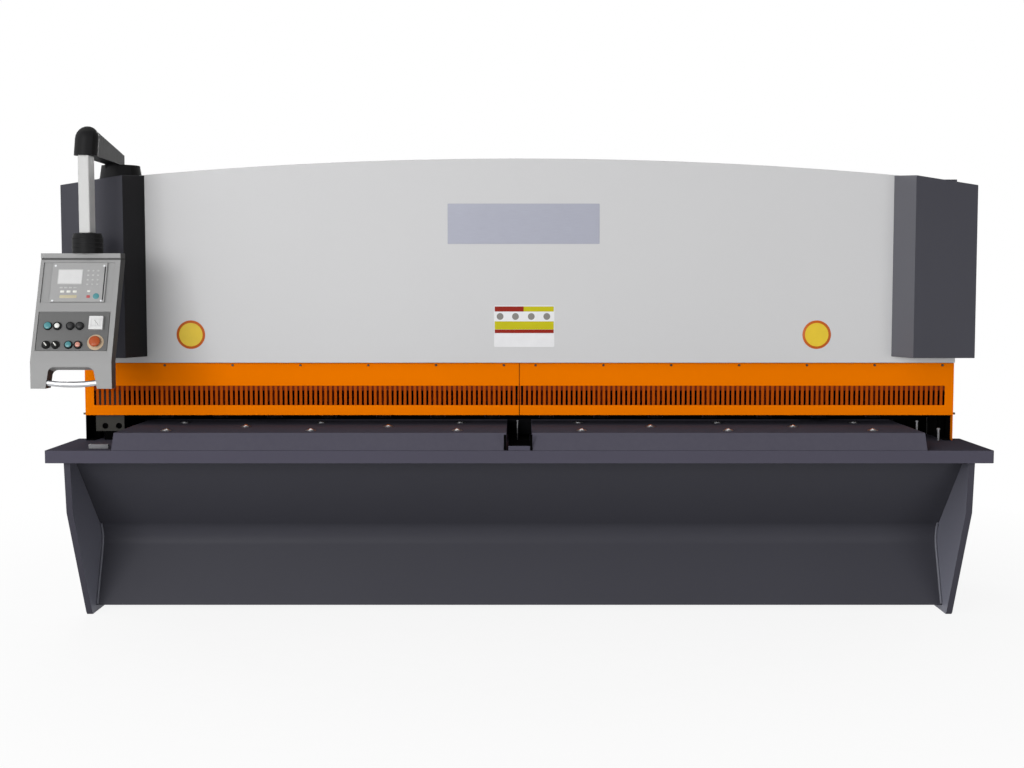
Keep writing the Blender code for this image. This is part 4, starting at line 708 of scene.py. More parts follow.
# %% Dress the solids
# Each row: finish, slot, width of the broken edge, steps across it, and the solids that get them.
DRESSING = (
    (frame_paint, "frame_paint", 0.0015, 2, ("bed_beam", "left_gauge_arm", "right_gauge_arm", "knife_beam")),
    (frame_paint, "frame_paint", 0.0020, 2, ("top_tie_beam", "tank_beam", "rear_tie_beam")),
    (frame_paint, "frame_paint", 0.0010, 2, ("rear_chute",)),
    (side_paint, "frame_paint", 0.0020, 2, ("left_side_frame", "right_side_frame")),
    (table_paint, "frame_paint", 0.0012, 2, ("work_table", "left_table_block", "right_table_block")),
    (apron_paint, "frame_paint", 0.0010, 2, ("table_apron",)),
    (tongue_paint, "frame_paint", 0.0010, 2, ("notch_tongue",)),
    (bracket_paint, "frame_paint", 0.0010, 2, ("hold_down_bracket",)),
    (dim_paint, "frame_paint", 0.0010, 2, ("left_main_cylinder", "right_main_cylinder")),
    (primer, "frame_paint", 0.0015, 2, ("hold_down_beam",)),
    (cover_paint, "cover_paint", 0.0022, 3, ("left_side_cover", "right_side_cover")),
    (panel_paint, "panel_paint", 0.0025, 3, ("front_panel",)),
    (panel_paint, "panel_paint", 0.0015, 2, ("oil_tank",)),
    (guard_paint, "guard_orange", 0.0005, 1, ("left_finger_guard", "right_finger_guard")),
    (end_paint, "guard_orange", 0.0005, 1, ("left_guard_end", "right_guard_end")),
    (shade_dark_steel, "tool_steel", 0.0004, 2, ("lower_blade", "upper_blade")),
    (shade_dark_steel, "bare_steel", 0.0010, 2, ("left_knife_guide", "right_knife_guide", "gauge_stop_bar")),
    (machined_steel, "bare_steel", 0.0010, 2, ("valve_block", "gauge_drive_shaft")),
    (motor_paint, "motor_coat", 0.0010, 2, ("motor", "oil_pump")),
    (black_paint, "black_coat", 0.0020, 2, ("arm_base", "pendant_coupler")),
    (tube_paint, "tube_coat", 0.0060, 4, ("drop_tube",)),
    (pendant_paint, "pendant_grey", 0.0016, 2, ("pendant_box",)),
    (machined_steel, "bare_steel", 0.0004, 2, ("pendant_handle",)),
    (controller_skin, "plate_grey", 0.0012, 2, ("shear_controller",)),
    (meter_case, "meter_white", 0.0015, 3, ("power_meter",)))
for finish, slot, width, steps, nodes in DRESSING:
    for node in nodes:
        rounded(node, finish, width, steps)

# Where the arm runs into its domed elbow one corner stands out, so it is pulled back into the arm.
ARM_CORNER = Vector((-2.131, -0.754, 2.4563))
ARM_PULL = Vector((0.019, 0, -0.022))
rounded("swing_arm", black_paint, 0.0020, 2, (ARM_CORNER, ARM_PULL))
print("rounded stand-ins:", 1 + sum(len(row[-1]) for row in DRESSING))

# %% [markdown]
# ## Small shapes
#
# Screws, buttons and discs are turned shapes: a short profile spun round an axis. Keys, plates
# and labels are boxes with broken edges. Both are drawn lying on the XY plane with Z pointing
# out of the surface, and a matrix then carries them to where they sit.

# %% Turned shapes and soft boxes
ROUND_SIDES = 40
CORNER_STEPS = 5
DOME_END = math.radians(80)


def turned(profile, sides=ROUND_SIDES):
    """A closed shape spun round Z from (radius, height) points, first to last going up."""
    shape = bmesh.new()
    angles = [2 * math.pi * number / sides for number in range(sides)]
    rings = []
    for radius, height in profile:
        rings.append([shape.verts.new((radius * math.cos(a), radius * math.sin(a), height)) for a in angles])
    for lower, upper in zip(rings, rings[1:]):
        for number in range(sides):
            after = (number + 1) % sides
            shape.faces.new((lower[number], lower[after], upper[after], upper[number]))
    shape.faces.new(list(reversed(rings[0])))
    shape.faces.new(rings[-1])
    return shape


def dome(radius, low, high, steps):
    """Points of a domed top; the last one stops a little short of the axis."""
    angles = [DOME_END * step / steps for step in range(1, steps + 1)]
    return [(radius * math.cos(angle), low + (high - low) * math.sin(angle)) for angle in angles]


def soft_box(width, height, depth, edge, steps=2, corner=None):
    """A box from Z 0 up, with its upright corners rounded first and its rims after."""
    shape = bmesh.new()
    bmesh.ops.create_cube(shape, size=1)
    bmesh.ops.scale(shape, vec=(width, height, depth), verts=shape.verts)
    bmesh.ops.translate(shape, vec=(0, 0, depth / 2), verts=shape.verts)
    if corner:
        upright = [side for side in shape.edges if abs(side.verts[0].co.z - side.verts[1].co.z) > depth / 2]
        break_edges(shape, corner, CORNER_STEPS, upright)
    break_edges(shape, edge, steps)
    return shape


def moved(shape, matrix):
    """Carry a whole bmesh by a matrix."""
    bmesh.ops.transform(shape, matrix=matrix, verts=shape.verts)
    return shape


def spun(shape, angle):
    """Spin a whole bmesh round Z."""
    return moved(shape, Matrix.Rotation(angle, 4, "Z"))


def joined(shapes):
    """One bmesh of several."""
    whole = bmesh.new()
    for shape in shapes:
        held = bpy.data.meshes.new("held")
        shape.to_mesh(held)
        shape.free()
        whole.from_mesh(held)
        bpy.data.meshes.remove(held)
    return whole


def on_front(x, y, z):
    """Matrix of a place on an upright front surface: X right, Y up, Z towards the operator."""
    return Matrix.Translation((x, y, z)) @ Matrix.Rotation(math.pi / 2, 4, "X")


SCREW_SIDES = 24
SOCKET_SHARE, RIM_SHARE, SHOULDER_SHARE = 0.50, 0.82, 0.55
SOCKET_STEP, SOCKET_SINK = 0.02, 0.40


def screw_head(radius, height):
    """A pan head with a socket sunk in it."""
    socket = radius * SOCKET_SHARE
    profile = [(radius, 0), (radius, height * SHOULDER_SHARE), (radius * RIM_SHARE, height),
               (socket, height)]
    head = turned(profile, SCREW_SIDES)
    cap = max(head.faces, key=lambda face: face.calc_center_median().z)
    bmesh.ops.inset_individual(head, faces=[cap], thickness=socket * SOCKET_STEP)
    bmesh.ops.translate(head, vec=(0, 0, -height * SOCKET_SINK), verts=cap.verts)
    return head


print("turned shapes, soft boxes and screw heads are ready")

# %% [markdown]
# ## Ball transfer units
#
# Heavy sheet rolls over the table on steel balls. Each unit is a cup with a flange that is let
# into the block, and a ball that stands a few millimetres proud. Three rows of them alternate
# along each block. Their places are counted from the middle of the table and from its front edge.

# %% Ball transfer units
FLANGE_RADIUS, FLANGE_HEIGHT = 0.027, 0.0030
FLANGE_EASE, FLANGE_RIM = 0.96, 0.7
CUP_RADIUS, CUP_HEIGHT, CUP_EASE = 0.0205, 0.0060, 0.97
BALL_RADIUS, BALL_RISE, BALL_PLAY, BALL_STEPS = 0.0150, 0.0115, 1.05, 4
BALL_ROWS = ((0.160, (0.31, 1.04, 1.76)), (0.360, (0.67, 1.40)), (0.570, (0.31, 1.04, 1.76)))
block_low, block_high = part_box("left_table_block")
table_low, table_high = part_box("work_table")


def ball_unit(x, y, z):
    """Flange and cup as one shape, and the ball as another."""
    cup = turned([(FLANGE_RADIUS, 0), (FLANGE_RADIUS, FLANGE_HEIGHT * FLANGE_RIM),
                  (FLANGE_RADIUS * FLANGE_EASE, FLANGE_HEIGHT), (CUP_RADIUS, FLANGE_HEIGHT),
                  (CUP_RADIUS * CUP_EASE, CUP_HEIGHT), (BALL_RADIUS * BALL_PLAY, CUP_HEIGHT)])
    ball = bmesh.new()
    bmesh.ops.create_icosphere(ball, subdivisions=BALL_STEPS, radius=BALL_RADIUS)
    place = Matrix.Translation((x, y, z))
    return moved(cup, place), moved(ball, place @ Matrix.Translation((0, 0, BALL_RISE - BALL_RADIUS)))


cups, balls = [], []
for row, distances in BALL_ROWS:
    for distance in distances:
        for side in (-1, 1):
            cup, ball = ball_unit(side * distance, table_low.y + row, block_high.z)
            cups.append(cup)
            balls.append(ball)
print("ball units:", len(balls))
publish("ball_cups", joined(cups), cup_steel, "frame")
publish("transfer_balls", joined(balls), ball_chrome, "frame", smooth=math.pi)

# %% [markdown]
# ## Screws of the guard and the covers
#
# A row of small screws holds the slotted guard under the panel. They are joined into one mesh,
# because many objects of one kind say no more than one.

# %% Guard screws
GUARD_SCREW_RADIUS = 0.0065
GUARD_SCREW_HEIGHT = 0.0040
GUARD_SCREW_DROP = 0.011
GUARD_SCREW_FIRSTS = {-1: 0.080, 1: 0.084}
GUARD_SCREW_PITCH = 0.351
GUARD_SCREWS = 7
guard_low, guard_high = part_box("right_finger_guard")
heads = []
for number in range(GUARD_SCREWS):
    for side in (-1, 1):
        x = side * (GUARD_SCREW_FIRSTS[side] + number * GUARD_SCREW_PITCH)
        place = on_front(x, guard_low.y, guard_high.z - GUARD_SCREW_DROP)
        heads.append(moved(screw_head(GUARD_SCREW_RADIUS, GUARD_SCREW_HEIGHT), place))
publish("guard_screws", joined(heads), dark_screws, "frame")
print("guard screws:", 2 * GUARD_SCREWS)

# %% [markdown]
# ## Plates and signs on the panel
#
# The panel carries a wide plate, a banded label and two round signs. They could be painted into the
# panel's finish, but as thin plates and discs of plain colour they keep crisp edges, cast a hair of
# shadow, and can be moved or left off by name.

# %% Plates on the panel
panel_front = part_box("front_panel")[0].y
PLATE_ENDS, PLATE_HEIGHTS, PLATE_THICKNESS = (-0.367, 0.411), (1.911, 2.116), 0.0015
LABEL_ENDS, LABEL_HEIGHTS, LABEL_THICKNESS = (-0.130, 0.180), (1.383, 1.596), 0.0004
PLATE_CORNER, LABEL_CORNER, BAND_CORNER = 0.003, 0.006, 0.001
RIM_OF_THICKNESS = 0.3
label_middle = sum(LABEL_ENDS) / 2
label_half = (LABEL_ENDS[1] - LABEL_ENDS[0]) / 2
label_height = LABEL_HEIGHTS[1] - LABEL_HEIGHTS[0]


def front_plate(name, ends, heights, thickness, finish, corner, out=0.0):
    """A thin plate on the panel between two ends and two heights."""
    size = ends[1] - ends[0], heights[1] - heights[0], thickness
    shape = soft_box(*size, thickness * RIM_OF_THICKNESS, 1, corner)
    place = on_front(sum(ends) / 2, panel_front - out, sum(heights) / 2)
    publish(name, moved(shape, place), finish, "frame")


def front_disc(profile, x, height, out, sides):
    """A thin disc on the panel."""
    return moved(turned(profile, sides), on_front(x, panel_front - out, height))


front_plate("bare_name_plate", PLATE_ENDS, PLATE_HEIGHTS, PLATE_THICKNESS, name_plate, PLATE_CORNER)
front_plate("banded_label", LABEL_ENDS, LABEL_HEIGHTS, LABEL_THICKNESS, label_pale, LABEL_CORNER)
print("plate and label:", round(PLATE_ENDS[1] - PLATE_ENDS[0], 3), round(2 * label_half, 3), "m wide")

# %% [markdown]
# ## Bands, discs and signs
#
# The label's bands and discs are placed by shares of its size, so that they follow it when it
# changes. They are thin pieces like the plates, and the round signs are a rim with a face on it.

# %% Bands, discs and signs
# Each row: name, heights as shares of the label's, ends as shares of half its width, finish.
BANDS = (("top_red_band", (0.854, 0.976), (-0.98, -0.02), label_red),
         ("top_yellow_band", (0.854, 0.976), (-0.02, 0.98), label_yellow),
         ("middle_yellow_band", (0.422, 0.617), (-0.98, 0.98), label_yellow),
         ("middle_red_band", (0.334, 0.420), (-0.98, 0.98), label_red))
DISC_SHARES, DISC_HEIGHT = (-0.80, -0.29, 0.235, 0.75), 0.735
DISC_RADIUS, DISC_SIDES = 0.0175, 32
SIGN_RADIUS, SIGN_THICKNESS, SIGN_EASE, SIGN_SIDES = 0.0735, 0.0006, 0.0003, 64
SIGN_FACE_SHARE = 0.82
SIGN_HEIGHT, SIGN_XS = 1.446, (-1.690, 1.530)
thin = LABEL_THICKNESS / 2
for name, heights, ends, finish in BANDS:
    ends = [label_middle + label_half * share for share in ends]
    heights = [LABEL_HEIGHTS[0] + label_height * share for share in heights]
    front_plate(name, ends, heights, thin, finish, BAND_CORNER, LABEL_THICKNESS)
disc_profile = [(DISC_RADIUS, 0), (DISC_RADIUS, thin)]
disc_height = LABEL_HEIGHTS[0] + label_height * DISC_HEIGHT
disc_xs = [label_middle + label_half * share for share in DISC_SHARES]
discs = [front_disc(disc_profile, x, disc_height, LABEL_THICKNESS, DISC_SIDES) for x in disc_xs]
publish("label_discs", joined(discs), label_grey, "frame")
rim_profile = [(SIGN_RADIUS, 0), (SIGN_RADIUS, SIGN_THICKNESS - thin),
               (SIGN_RADIUS - SIGN_EASE, SIGN_THICKNESS)]
face_profile = [(SIGN_RADIUS * SIGN_FACE_SHARE, 0), (SIGN_RADIUS * SIGN_FACE_SHARE, SIGN_EASE)]
for number, x in enumerate(SIGN_XS):
    rim = front_disc(rim_profile, x, SIGN_HEIGHT, 0.0, SIGN_SIDES)
    publish(f"round_sign_rim_{number}", rim, sign_orange, "frame")
    face = front_disc(face_profile, x, SIGN_HEIGHT, SIGN_THICKNESS, SIGN_SIDES)
    publish(f"round_sign_face_{number}", face, sign_yellow, "frame")
print("bands:", len(BANDS), "discs:", len(discs), "signs:", len(SIGN_XS))

# %% [markdown]
# ## The pendant's face
#
# The instruments lie on a sloping face. Instead of repeating its angle, the face is read from the
# solid: its largest forward face gives the normal, and the points on that plane give its top
# edge. Places on it are then measured across from the middle and down from the top.

# %% Sloping faces
def front_face(node):
    """Matrix at the top middle of a solid's largest forward face: X right, Y up it, Z out of it."""
    data = frame["nodes"][node].data
    largest = max(data.polygons, key=lambda face: face.area if face.normal.y < -0.5 else 0)
    out = largest.normal.copy()
    up = (Vector((0, 0, 1)) - out * out.z).normalized()
    right = up.cross(out)
    level = out.dot(largest.center)
    flat = [point.co for point in data.vertices if abs(out.dot(point.co) - level) < WELD_DISTANCE * 10]
    across = [right.dot(point) for point in flat]
    along = [up.dot(point) for point in flat]
    origin = right * (min(across) + max(across)) / 2 + up * max(along) + out * level
    return Matrix.Translation(origin) @ Matrix((right, up, out)).transposed().to_4x4()


def laid(shape, face, x, down, out=0.0):
    """Move a small shape to its place on a sloping face."""
    return moved(shape, face @ Matrix.Translation((x, -down, out)))


box_face = front_face("pendant_box")
controller_face = front_face("shear_controller")
plate_face = front_face("button_plate")
slope = math.degrees(math.atan2(box_face.col[2].z, -box_face.col[2].y))
print("slope of the pendant's face:", round(slope, 1), "degrees")

# %% [markdown]
# ## Screen and keys
#
# The controller has a screen on its left, a block of small keys on its right and a few wider keys
# below. A key is a flat block about a millimetre proud with its edges broken, which is enough to
# catch the light. The rows are written down as a table, because their places follow no rule.

# %% Controller
SCREEN_WIDTH, SCREEN_HEIGHT, SCREEN_RIM = 0.112, 0.070, 0.008
SCREEN_X, SCREEN_DOWN = -0.042, 0.073
KEYPAD_X, KEYPAD_DOWN = 0.067, 0.0765
KEY_PITCH, KEY_ROW_PITCH = 0.024, 0.0235
KEY_COLUMNS, KEY_ROWS = 3, 4
KEY_WIDTH, KEY_HEIGHT = 0.0095, 0.0076
PROUD, KEY_EDGE, KEY_CORNER = 0.0012, 0.4, 0.2
TEAL_X, TEAL_DOWN, TEAL_RADIUS, TEAL_SIDES = 0.090, 0.173, 0.0150, 32
CORNER_XS, CORNER_DOWNS = (-0.117, 0.116), (0.016, 0.196)
CORNER_SCREW = (0.0055, 0.0022)
FRAME_EDGE, FRAME_CORNER = 0.0004, 0.003
GLASS_EDGE, GLASS_CORNER = 0.0002, 0.002
TEAL_CROWN, TEAL_RISE = 0.8, 1.6
# Each row: name, finish, places across, place down, width and height of one key.
KEY_GROUPS = (("label_strip", key_grey, (-0.080, -0.058, -0.036, -0.014), 0.129, 0.016, 0.006),
              ("white_keys", key_white, (-0.0735, -0.0435, -0.0135), 0.149, 0.019, 0.011),
              ("cream_keys", key_cream, (-0.043,), 0.175, 0.082, 0.015),
              ("red_key", key_red, (0.053,), 0.175, 0.017, 0.014),
              ("pale_key", key_white, (0.053,), 0.147, 0.014, 0.009),
              # The last row is a black strip of painted shade along the controller's right edge.
              ("edge_shade_strip", black_plastic, (0.1225,), 0.106, 0.0050, 0.170))


def key_block(width, height):
    """One key."""
    return soft_box(width, height, PROUD, PROUD * KEY_EDGE, 2, min(width, height) * KEY_CORNER)


def on_controller(name, shapes, finish):
    """Publish shapes that lie on the controller's face as one piece."""
    publish(name, joined(shapes), finish, "pendant")


rim = soft_box(SCREEN_WIDTH + SCREEN_RIM, SCREEN_HEIGHT + SCREEN_RIM, PROUD, FRAME_EDGE, 1, FRAME_CORNER)
on_controller("screen_frame", [laid(rim, controller_face, SCREEN_X, SCREEN_DOWN)], key_grey)
screen = soft_box(SCREEN_WIDTH, SCREEN_HEIGHT, PROUD / 2, GLASS_EDGE, 1, GLASS_CORNER)
on_controller("screen", [laid(screen, controller_face, SCREEN_X, SCREEN_DOWN, PROUD)], screen_glass)

columns = [KEYPAD_X + (column - (KEY_COLUMNS - 1) / 2) * KEY_PITCH for column in range(KEY_COLUMNS)]
rows = [KEYPAD_DOWN + (row - (KEY_ROWS - 1) / 2) * KEY_ROW_PITCH for row in range(KEY_ROWS)]
keys = [laid(key_block(KEY_WIDTH, KEY_HEIGHT), controller_face, x, down) for x in columns for down in rows]
on_controller("keypad_keys", keys, key_grey)
for name, finish, places, down, width, height in KEY_GROUPS:
    on_controller(name, [laid(key_block(width, height), controller_face, x, down) for x in places], finish)
teal_disc = turned([(TEAL_RADIUS, 0), (TEAL_RADIUS, PROUD),
                    (TEAL_RADIUS * TEAL_CROWN, PROUD * TEAL_RISE)], TEAL_SIDES)
on_controller("teal_key", [laid(teal_disc, controller_face, TEAL_X, TEAL_DOWN)], button_teal)
screws = [laid(screw_head(*CORNER_SCREW), controller_face, x, down)
          for x in CORNER_XS for down in CORNER_DOWNS]
on_controller("controller_screws", screws, zinc_screws)
print("controller keys:", len(keys) + 1 + sum(len(group[2]) for group in KEY_GROUPS))

# %% [markdown]
# ## Push buttons, selectors and the stop button
#
# Each control is a black bezel with its own head. A push button's head is a low dome, a selector
# has a lever, and the stop button is a mushroom on a pale ring. All are turned shapes, because the
# real ones are turned or moulded round, and only the levers are soft boxes.

# %% Button plate
BUTTON_PANEL, BUTTON_PANEL_EDGE, BUTTON_PANEL_CORNER = (0.337, 0.1936, 0.0050), 0.0006, 0.003
UPPER_ROW, LOWER_ROW = 0.0710, 0.1665
BEZEL_RADIUS, BEZEL_HEIGHT = 0.0205, 0.0080
BEZEL_SHOULDER, BEZEL_EASE, BORE_PLAY = 0.6, 0.95, 1.04
CAP_RADIUS, CAP_HEIGHT = 0.0150, 0.0060
CAP_FOOT, CAP_SHOULDER = BEZEL_HEIGHT * 0.5, BEZEL_HEIGHT + CAP_HEIGHT * 0.5
LEVER_SIZE, LEVER_EDGE, LEVER_CORNER = (0.0055, 0.021, 0.0065), 0.0012, 0.0024
LEVER_TURN, LEVER_RISE = math.radians(40), BEZEL_HEIGHT + CAP_HEIGHT * 0.8
BUTTON_XS = (-0.1205, -0.0755, -0.0140, 0.0310)
# Each row: name, place across, row, finish of the cap, and the cap's share of the usual width.
BUTTONS = (("start_button", BUTTON_XS[0], UPPER_ROW, button_teal, 1.12),
           ("lamp_button", BUTTON_XS[1], UPPER_ROW, button_white, 0.80),
           ("first_black_button", BUTTON_XS[2], UPPER_ROW, cap_grey, 0.90),
           ("second_black_button", BUTTON_XS[3], UPPER_ROW, cap_grey, 0.90),
           ("cycle_button", BUTTON_XS[2], LOWER_ROW, button_teal, 0.95),
           ("reset_button", BUTTON_XS[3], LOWER_ROW, button_salmon, 0.82),
           ("mode_selector", BUTTON_XS[0], LOWER_ROW, black_plastic, 1.0),
           ("light_selector", BUTTON_XS[1], LOWER_ROW, black_plastic, 1.0))


def bezel(share):
    """Black collar with a stepped rim and a bore for its cap."""
    bore = CAP_RADIUS * share * BORE_PLAY
    return turned([(BEZEL_RADIUS, 0), (BEZEL_RADIUS, BEZEL_HEIGHT * BEZEL_SHOULDER),
                   (BEZEL_RADIUS * BEZEL_EASE, BEZEL_HEIGHT), (bore, BEZEL_HEIGHT),
                   (bore, BEZEL_HEIGHT * BEZEL_SHOULDER)])


def domed_cap(share):
    """Low dome inside the collar."""
    radius = CAP_RADIUS * share
    side = [(radius, CAP_FOOT), (radius, CAP_SHOULDER)]
    return turned(side + dome(radius, CAP_SHOULDER, BEZEL_HEIGHT + CAP_HEIGHT, 4))


plate = soft_box(*BUTTON_PANEL, BUTTON_PANEL_EDGE, 2, BUTTON_PANEL_CORNER)
plate = laid(plate, plate_face, 0, BUTTON_PANEL[1] / 2, -BUTTON_PANEL[2])
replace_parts(publish("button_panel", plate, plate_paint, "pendant"), "button_plate")
collars, levers = [], []
for name, x, down, finish, share in BUTTONS:
    collars.append(laid(bezel(share), plate_face, x, down))
    publish(name, laid(domed_cap(share), plate_face, x, down), finish, "pendant")
    if name.endswith("selector"):
        lever = spun(soft_box(*LEVER_SIZE, LEVER_EDGE, 2, LEVER_CORNER), LEVER_TURN)
        levers.append(laid(lever, plate_face, x, down, LEVER_RISE))
publish("selector_levers", joined(levers), key_white, "pendant")
publish("button_collars", joined(collars), black_plastic, "pendant")
print("controls:", len(BUTTONS), "with", len(levers), "levers")

# %% [markdown]
# ## The meter
#
# Behind the meter's window stand a few grid lines and a slanted needle. A flat picture of a dial
# would do from afar, but these are raised by a hair, as real ones are, so they hold up close too.

# %% Meter
meter_place = front_face("power_meter")
METER_WIDTH = 0.066
WINDOW_SHARE, WINDOW_PROUD, WINDOW_EDGE, WINDOW_CORNER = 0.84, 0.0008, 0.0003, 0.002
NEEDLE_WIDTH, NEEDLE_HEIGHT, NEEDLE_EDGE = 0.0012, 0.0006, 0.0002
NEEDLE_SHARE, NEEDLE_TURN, NEEDLE_X = 0.52, math.radians(38), 0.004
GRID_WIDTH, GRID_HEIGHT, GRID_EDGE = 0.0010, 0.0004, 0.0001
GRID_XS, GRID_TALL = (-0.020, 0.0, 0.020), 0.60
GRID_DOWNS, GRID_WIDE = (0.26, 0.74), 0.70
window_size = METER_WIDTH * WINDOW_SHARE
window = soft_box(window_size, window_size, WINDOW_PROUD, WINDOW_EDGE, 1, WINDOW_CORNER)
needle_down = METER_WIDTH * NEEDLE_SHARE
needle = spun(soft_box(NEEDLE_WIDTH, needle_down, NEEDLE_HEIGHT, NEEDLE_EDGE, 1), NEEDLE_TURN)


def grid_line(width, height, x, down):
    """One line of the meter's grid."""
    return laid(soft_box(width, height, GRID_HEIGHT, GRID_EDGE, 1), meter_place, x, down, WINDOW_PROUD)


grid = [grid_line(GRID_WIDTH, METER_WIDTH * GRID_TALL, x, METER_WIDTH / 2) for x in GRID_XS]
grid += [grid_line(METER_WIDTH * GRID_WIDE, GRID_WIDTH, 0, METER_WIDTH * share) for share in GRID_DOWNS]
for name, shape, finish in (
        ("meter_window", laid(window, meter_place, 0, METER_WIDTH / 2), meter_face),
        ("meter_needle", laid(needle, meter_place, NEEDLE_X, needle_down, WINDOW_PROUD), black_plastic),
        ("meter_grid", joined(grid), key_grey)):
    publish(name, shape, finish, "pendant")
print("meter:", round(METER_WIDTH * 1000), "mm wide")

# %% [markdown]
# ## The stop button
#
# A stop button is a mushroom: a stem, an undercut head and a low dome. Its outline is drawn once, from
# the stem to the crown, and turned about its own axis, which keeps the undercut that a scaled ball
# would lose. The ring below it is turned in the same way.

# %% Stop button
stop_low, stop_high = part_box("stop_button")
stop_x = (stop_low.x + stop_high.x) / 2 - plate_face.translation.x
STOP_DOWN, STOP_SIDES = 0.1535, 56
STOP_RING, STOP_STEM, STOP_CAP = 0.039, 0.014, 0.0265
RING_FOOT, RING_SHOULDER, RING_TOP, RING_EASE = 0.0003, 0.0022, 0.0033, 0.97
NECK_TOP, CAP_UNDER, CAP_EDGE, CAP_RIM, CAP_UNDER_SHARE = 0.0140, 0.0145, 0.0165, 0.0205, 0.96
STOP_TOP = 0.0270
ring = turned([(STOP_RING, RING_FOOT), (STOP_RING, RING_SHOULDER), (STOP_RING * RING_EASE, RING_TOP),
               (STOP_STEM, RING_TOP)], STOP_SIDES)
publish("stop_ring", laid(ring, plate_face, stop_x, STOP_DOWN), ring_cream, "pendant")
profile = [(STOP_STEM, RING_TOP), (STOP_STEM, NECK_TOP), (STOP_CAP * CAP_UNDER_SHARE, CAP_UNDER),
           (STOP_CAP, CAP_EDGE), (STOP_CAP, CAP_RIM)] + dome(STOP_CAP, CAP_RIM, STOP_TOP, 5)
mushroom = laid(turned(profile, STOP_SIDES), plate_face, stop_x, STOP_DOWN)
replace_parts(publish("stop_mushroom", mushroom, stop_red, "pendant"), "stop_button")
print("stop button:", round(2 * STOP_CAP * 1000), "mm across")

# %% [markdown]
# ## The throat and the table's ends
#
# The blades work in a dark gap under the guard. Near-black sheets of painted shade close the notch and
# the frames' throats so that no light comes through, a near-black backing plate and a block of painted
# shade stand behind and under the bracket, and a few stop pins and a lip bar stand on the table's ends.
# They are soft boxes and turned pins.

# %% Throat and stops
guard_end_low, guard_end_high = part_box("right_guard_end")
frame_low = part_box("right_side_frame")[0]
bracket_low, bracket_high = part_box("hold_down_bracket")
tongue_low, tongue_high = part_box("notch_tongue")
throat_back = guard_end_high.y
SEAL_GAP, SEAL_DEPTH, SEAL_DROP = 0.0003, 0.045, 0.010
SEAL_WIDTH, SEAL_PROUD, BACKING = 0.0120, 0.0008, 0.0020
FOOT_ENDS = (-2.165, -2.075)
LIP_BAR_ENDS, LIP_BAR_DEPTHS, LIP_BAR_HEIGHT = (-2.126, -2.028), (-0.700, -0.676), 0.022
# Each row: place across, place in depth, height of the top, radius.
PINS = ((-0.0096, -0.284, 0.998, 0.0030), (2.087, -0.234, 0.992, 0.0055), (2.171, -0.334, 0.962, 0.0060))
PIN_NECK, PIN_HEAD, PIN_TIP, PIN_CROWN, PIN_SIDES = 1.6, 1.5, 1.2, 0.2, 24
SEAL_EDGE, BACKING_EDGE, STRIP_EDGE, BAR_EDGE = 0.001, 0.0004, 0.0002, 0.002
STRIP_FOOT, STRIP_DROP = 0.001, 0.004
floor_of_throat = table_high.z + SEAL_GAP


def block(name, across, deep, tall, edge, finish=shade_black):
    """A soft box between two values on each axis."""
    size = [high - low for low, high in (across, deep, tall)]
    middle = Matrix.Translation((sum(across) / 2, sum(deep) / 2, tall[0]))
    publish(name, moved(soft_box(*size, edge), middle), finish, "frame")


def twins(name, reach, deep, tall, edge, finish=shade_black, ends=("left", "right")):
    """The same block at both ends of the machine, with its reach counted from the middle."""
    for end, side in zip(ends, (-1, 1)):
        block(name.format(end), sorted(side * place for place in reach), deep, tall, edge, finish)


# Painted shade: near-black sheets fill the frames' throats, the notch and the space behind and under the
# bracket.
throat_reach = (frame_low.x + SEAL_GAP, guard_end_low.x - SEAL_GAP / 3)
twins("{}_throat_shade_sheet", throat_reach, (throat_back - SEAL_DEPTH, throat_back - SEAL_GAP * 2),
      (floor_of_throat, guard_high.z - SEAL_DROP), SEAL_EDGE)
behind_bracket = bracket_high.y + SEAL_GAP
block("bracket_backing_shade", (bracket_low.x, bracket_high.x), (behind_bracket, behind_bracket + BACKING),
      (bracket_low.z, bracket_high.z), BACKING_EDGE)
notch_ends = ((block_high.x - SEAL_WIDTH, block_high.x),
              (-block_high.x - SEAL_WIDTH, -block_high.x - SEAL_GAP))
for number, ends in enumerate(notch_ends):
    block(f"notch_shade_strip_{number}", ends, (block_low.y - SEAL_PROUD, block_low.y - SEAL_GAP / 3),
          (block_low.z + STRIP_FOOT, block_high.z - STRIP_DROP), STRIP_EDGE)
block("notch_floor_shade", (tongue_low.x, tongue_high.x), (tongue_high.y + SEAL_GAP, block_high.y - SEAL_GAP),
      (floor_of_throat, table_high.z + BACKING), BACKING_EDGE)
pins = []
for x, y, top, radius in PINS:
    profile = [(radius, table_high.z + BACKING), (radius, top - radius * PIN_NECK),
               (radius * PIN_HEAD, top - radius * PIN_HEAD), (radius * PIN_HEAD, top - radius * PIN_CROWN),
               (radius * PIN_TIP, top)]
    pins.append(moved(turned(profile, PIN_SIDES), Matrix.Translation((x, y, 0))))
publish("stop_pins", joined(pins), pin_steel, "frame")
block("lip_bar", LIP_BAR_ENDS, LIP_BAR_DEPTHS, (floor_of_throat, table_high.z + LIP_BAR_HEIGHT), BAR_EDGE,
      lip_steel)
block("bracket_foot_shade", FOOT_ENDS, (bracket_low.y, bracket_high.y),
      (floor_of_throat, bracket_low.z - SEAL_GAP), SEAL_EDGE)
print("throat and notch seals, a bar and", len(pins), "pins")

# %% [markdown]
# ## Curtains and the guard's ends
#
# Behind the guard, near-black curtains and a skirt of painted shade hang down to the blades and keep
# offcuts and light out, and near-black sills and hems of painted shade close the gaps below them. Each
# is one thin block between known faces. Two pins end the guard, and a dark strip of painted shade
# stands for the slot on each side of its seam, because the sheet is solid there.

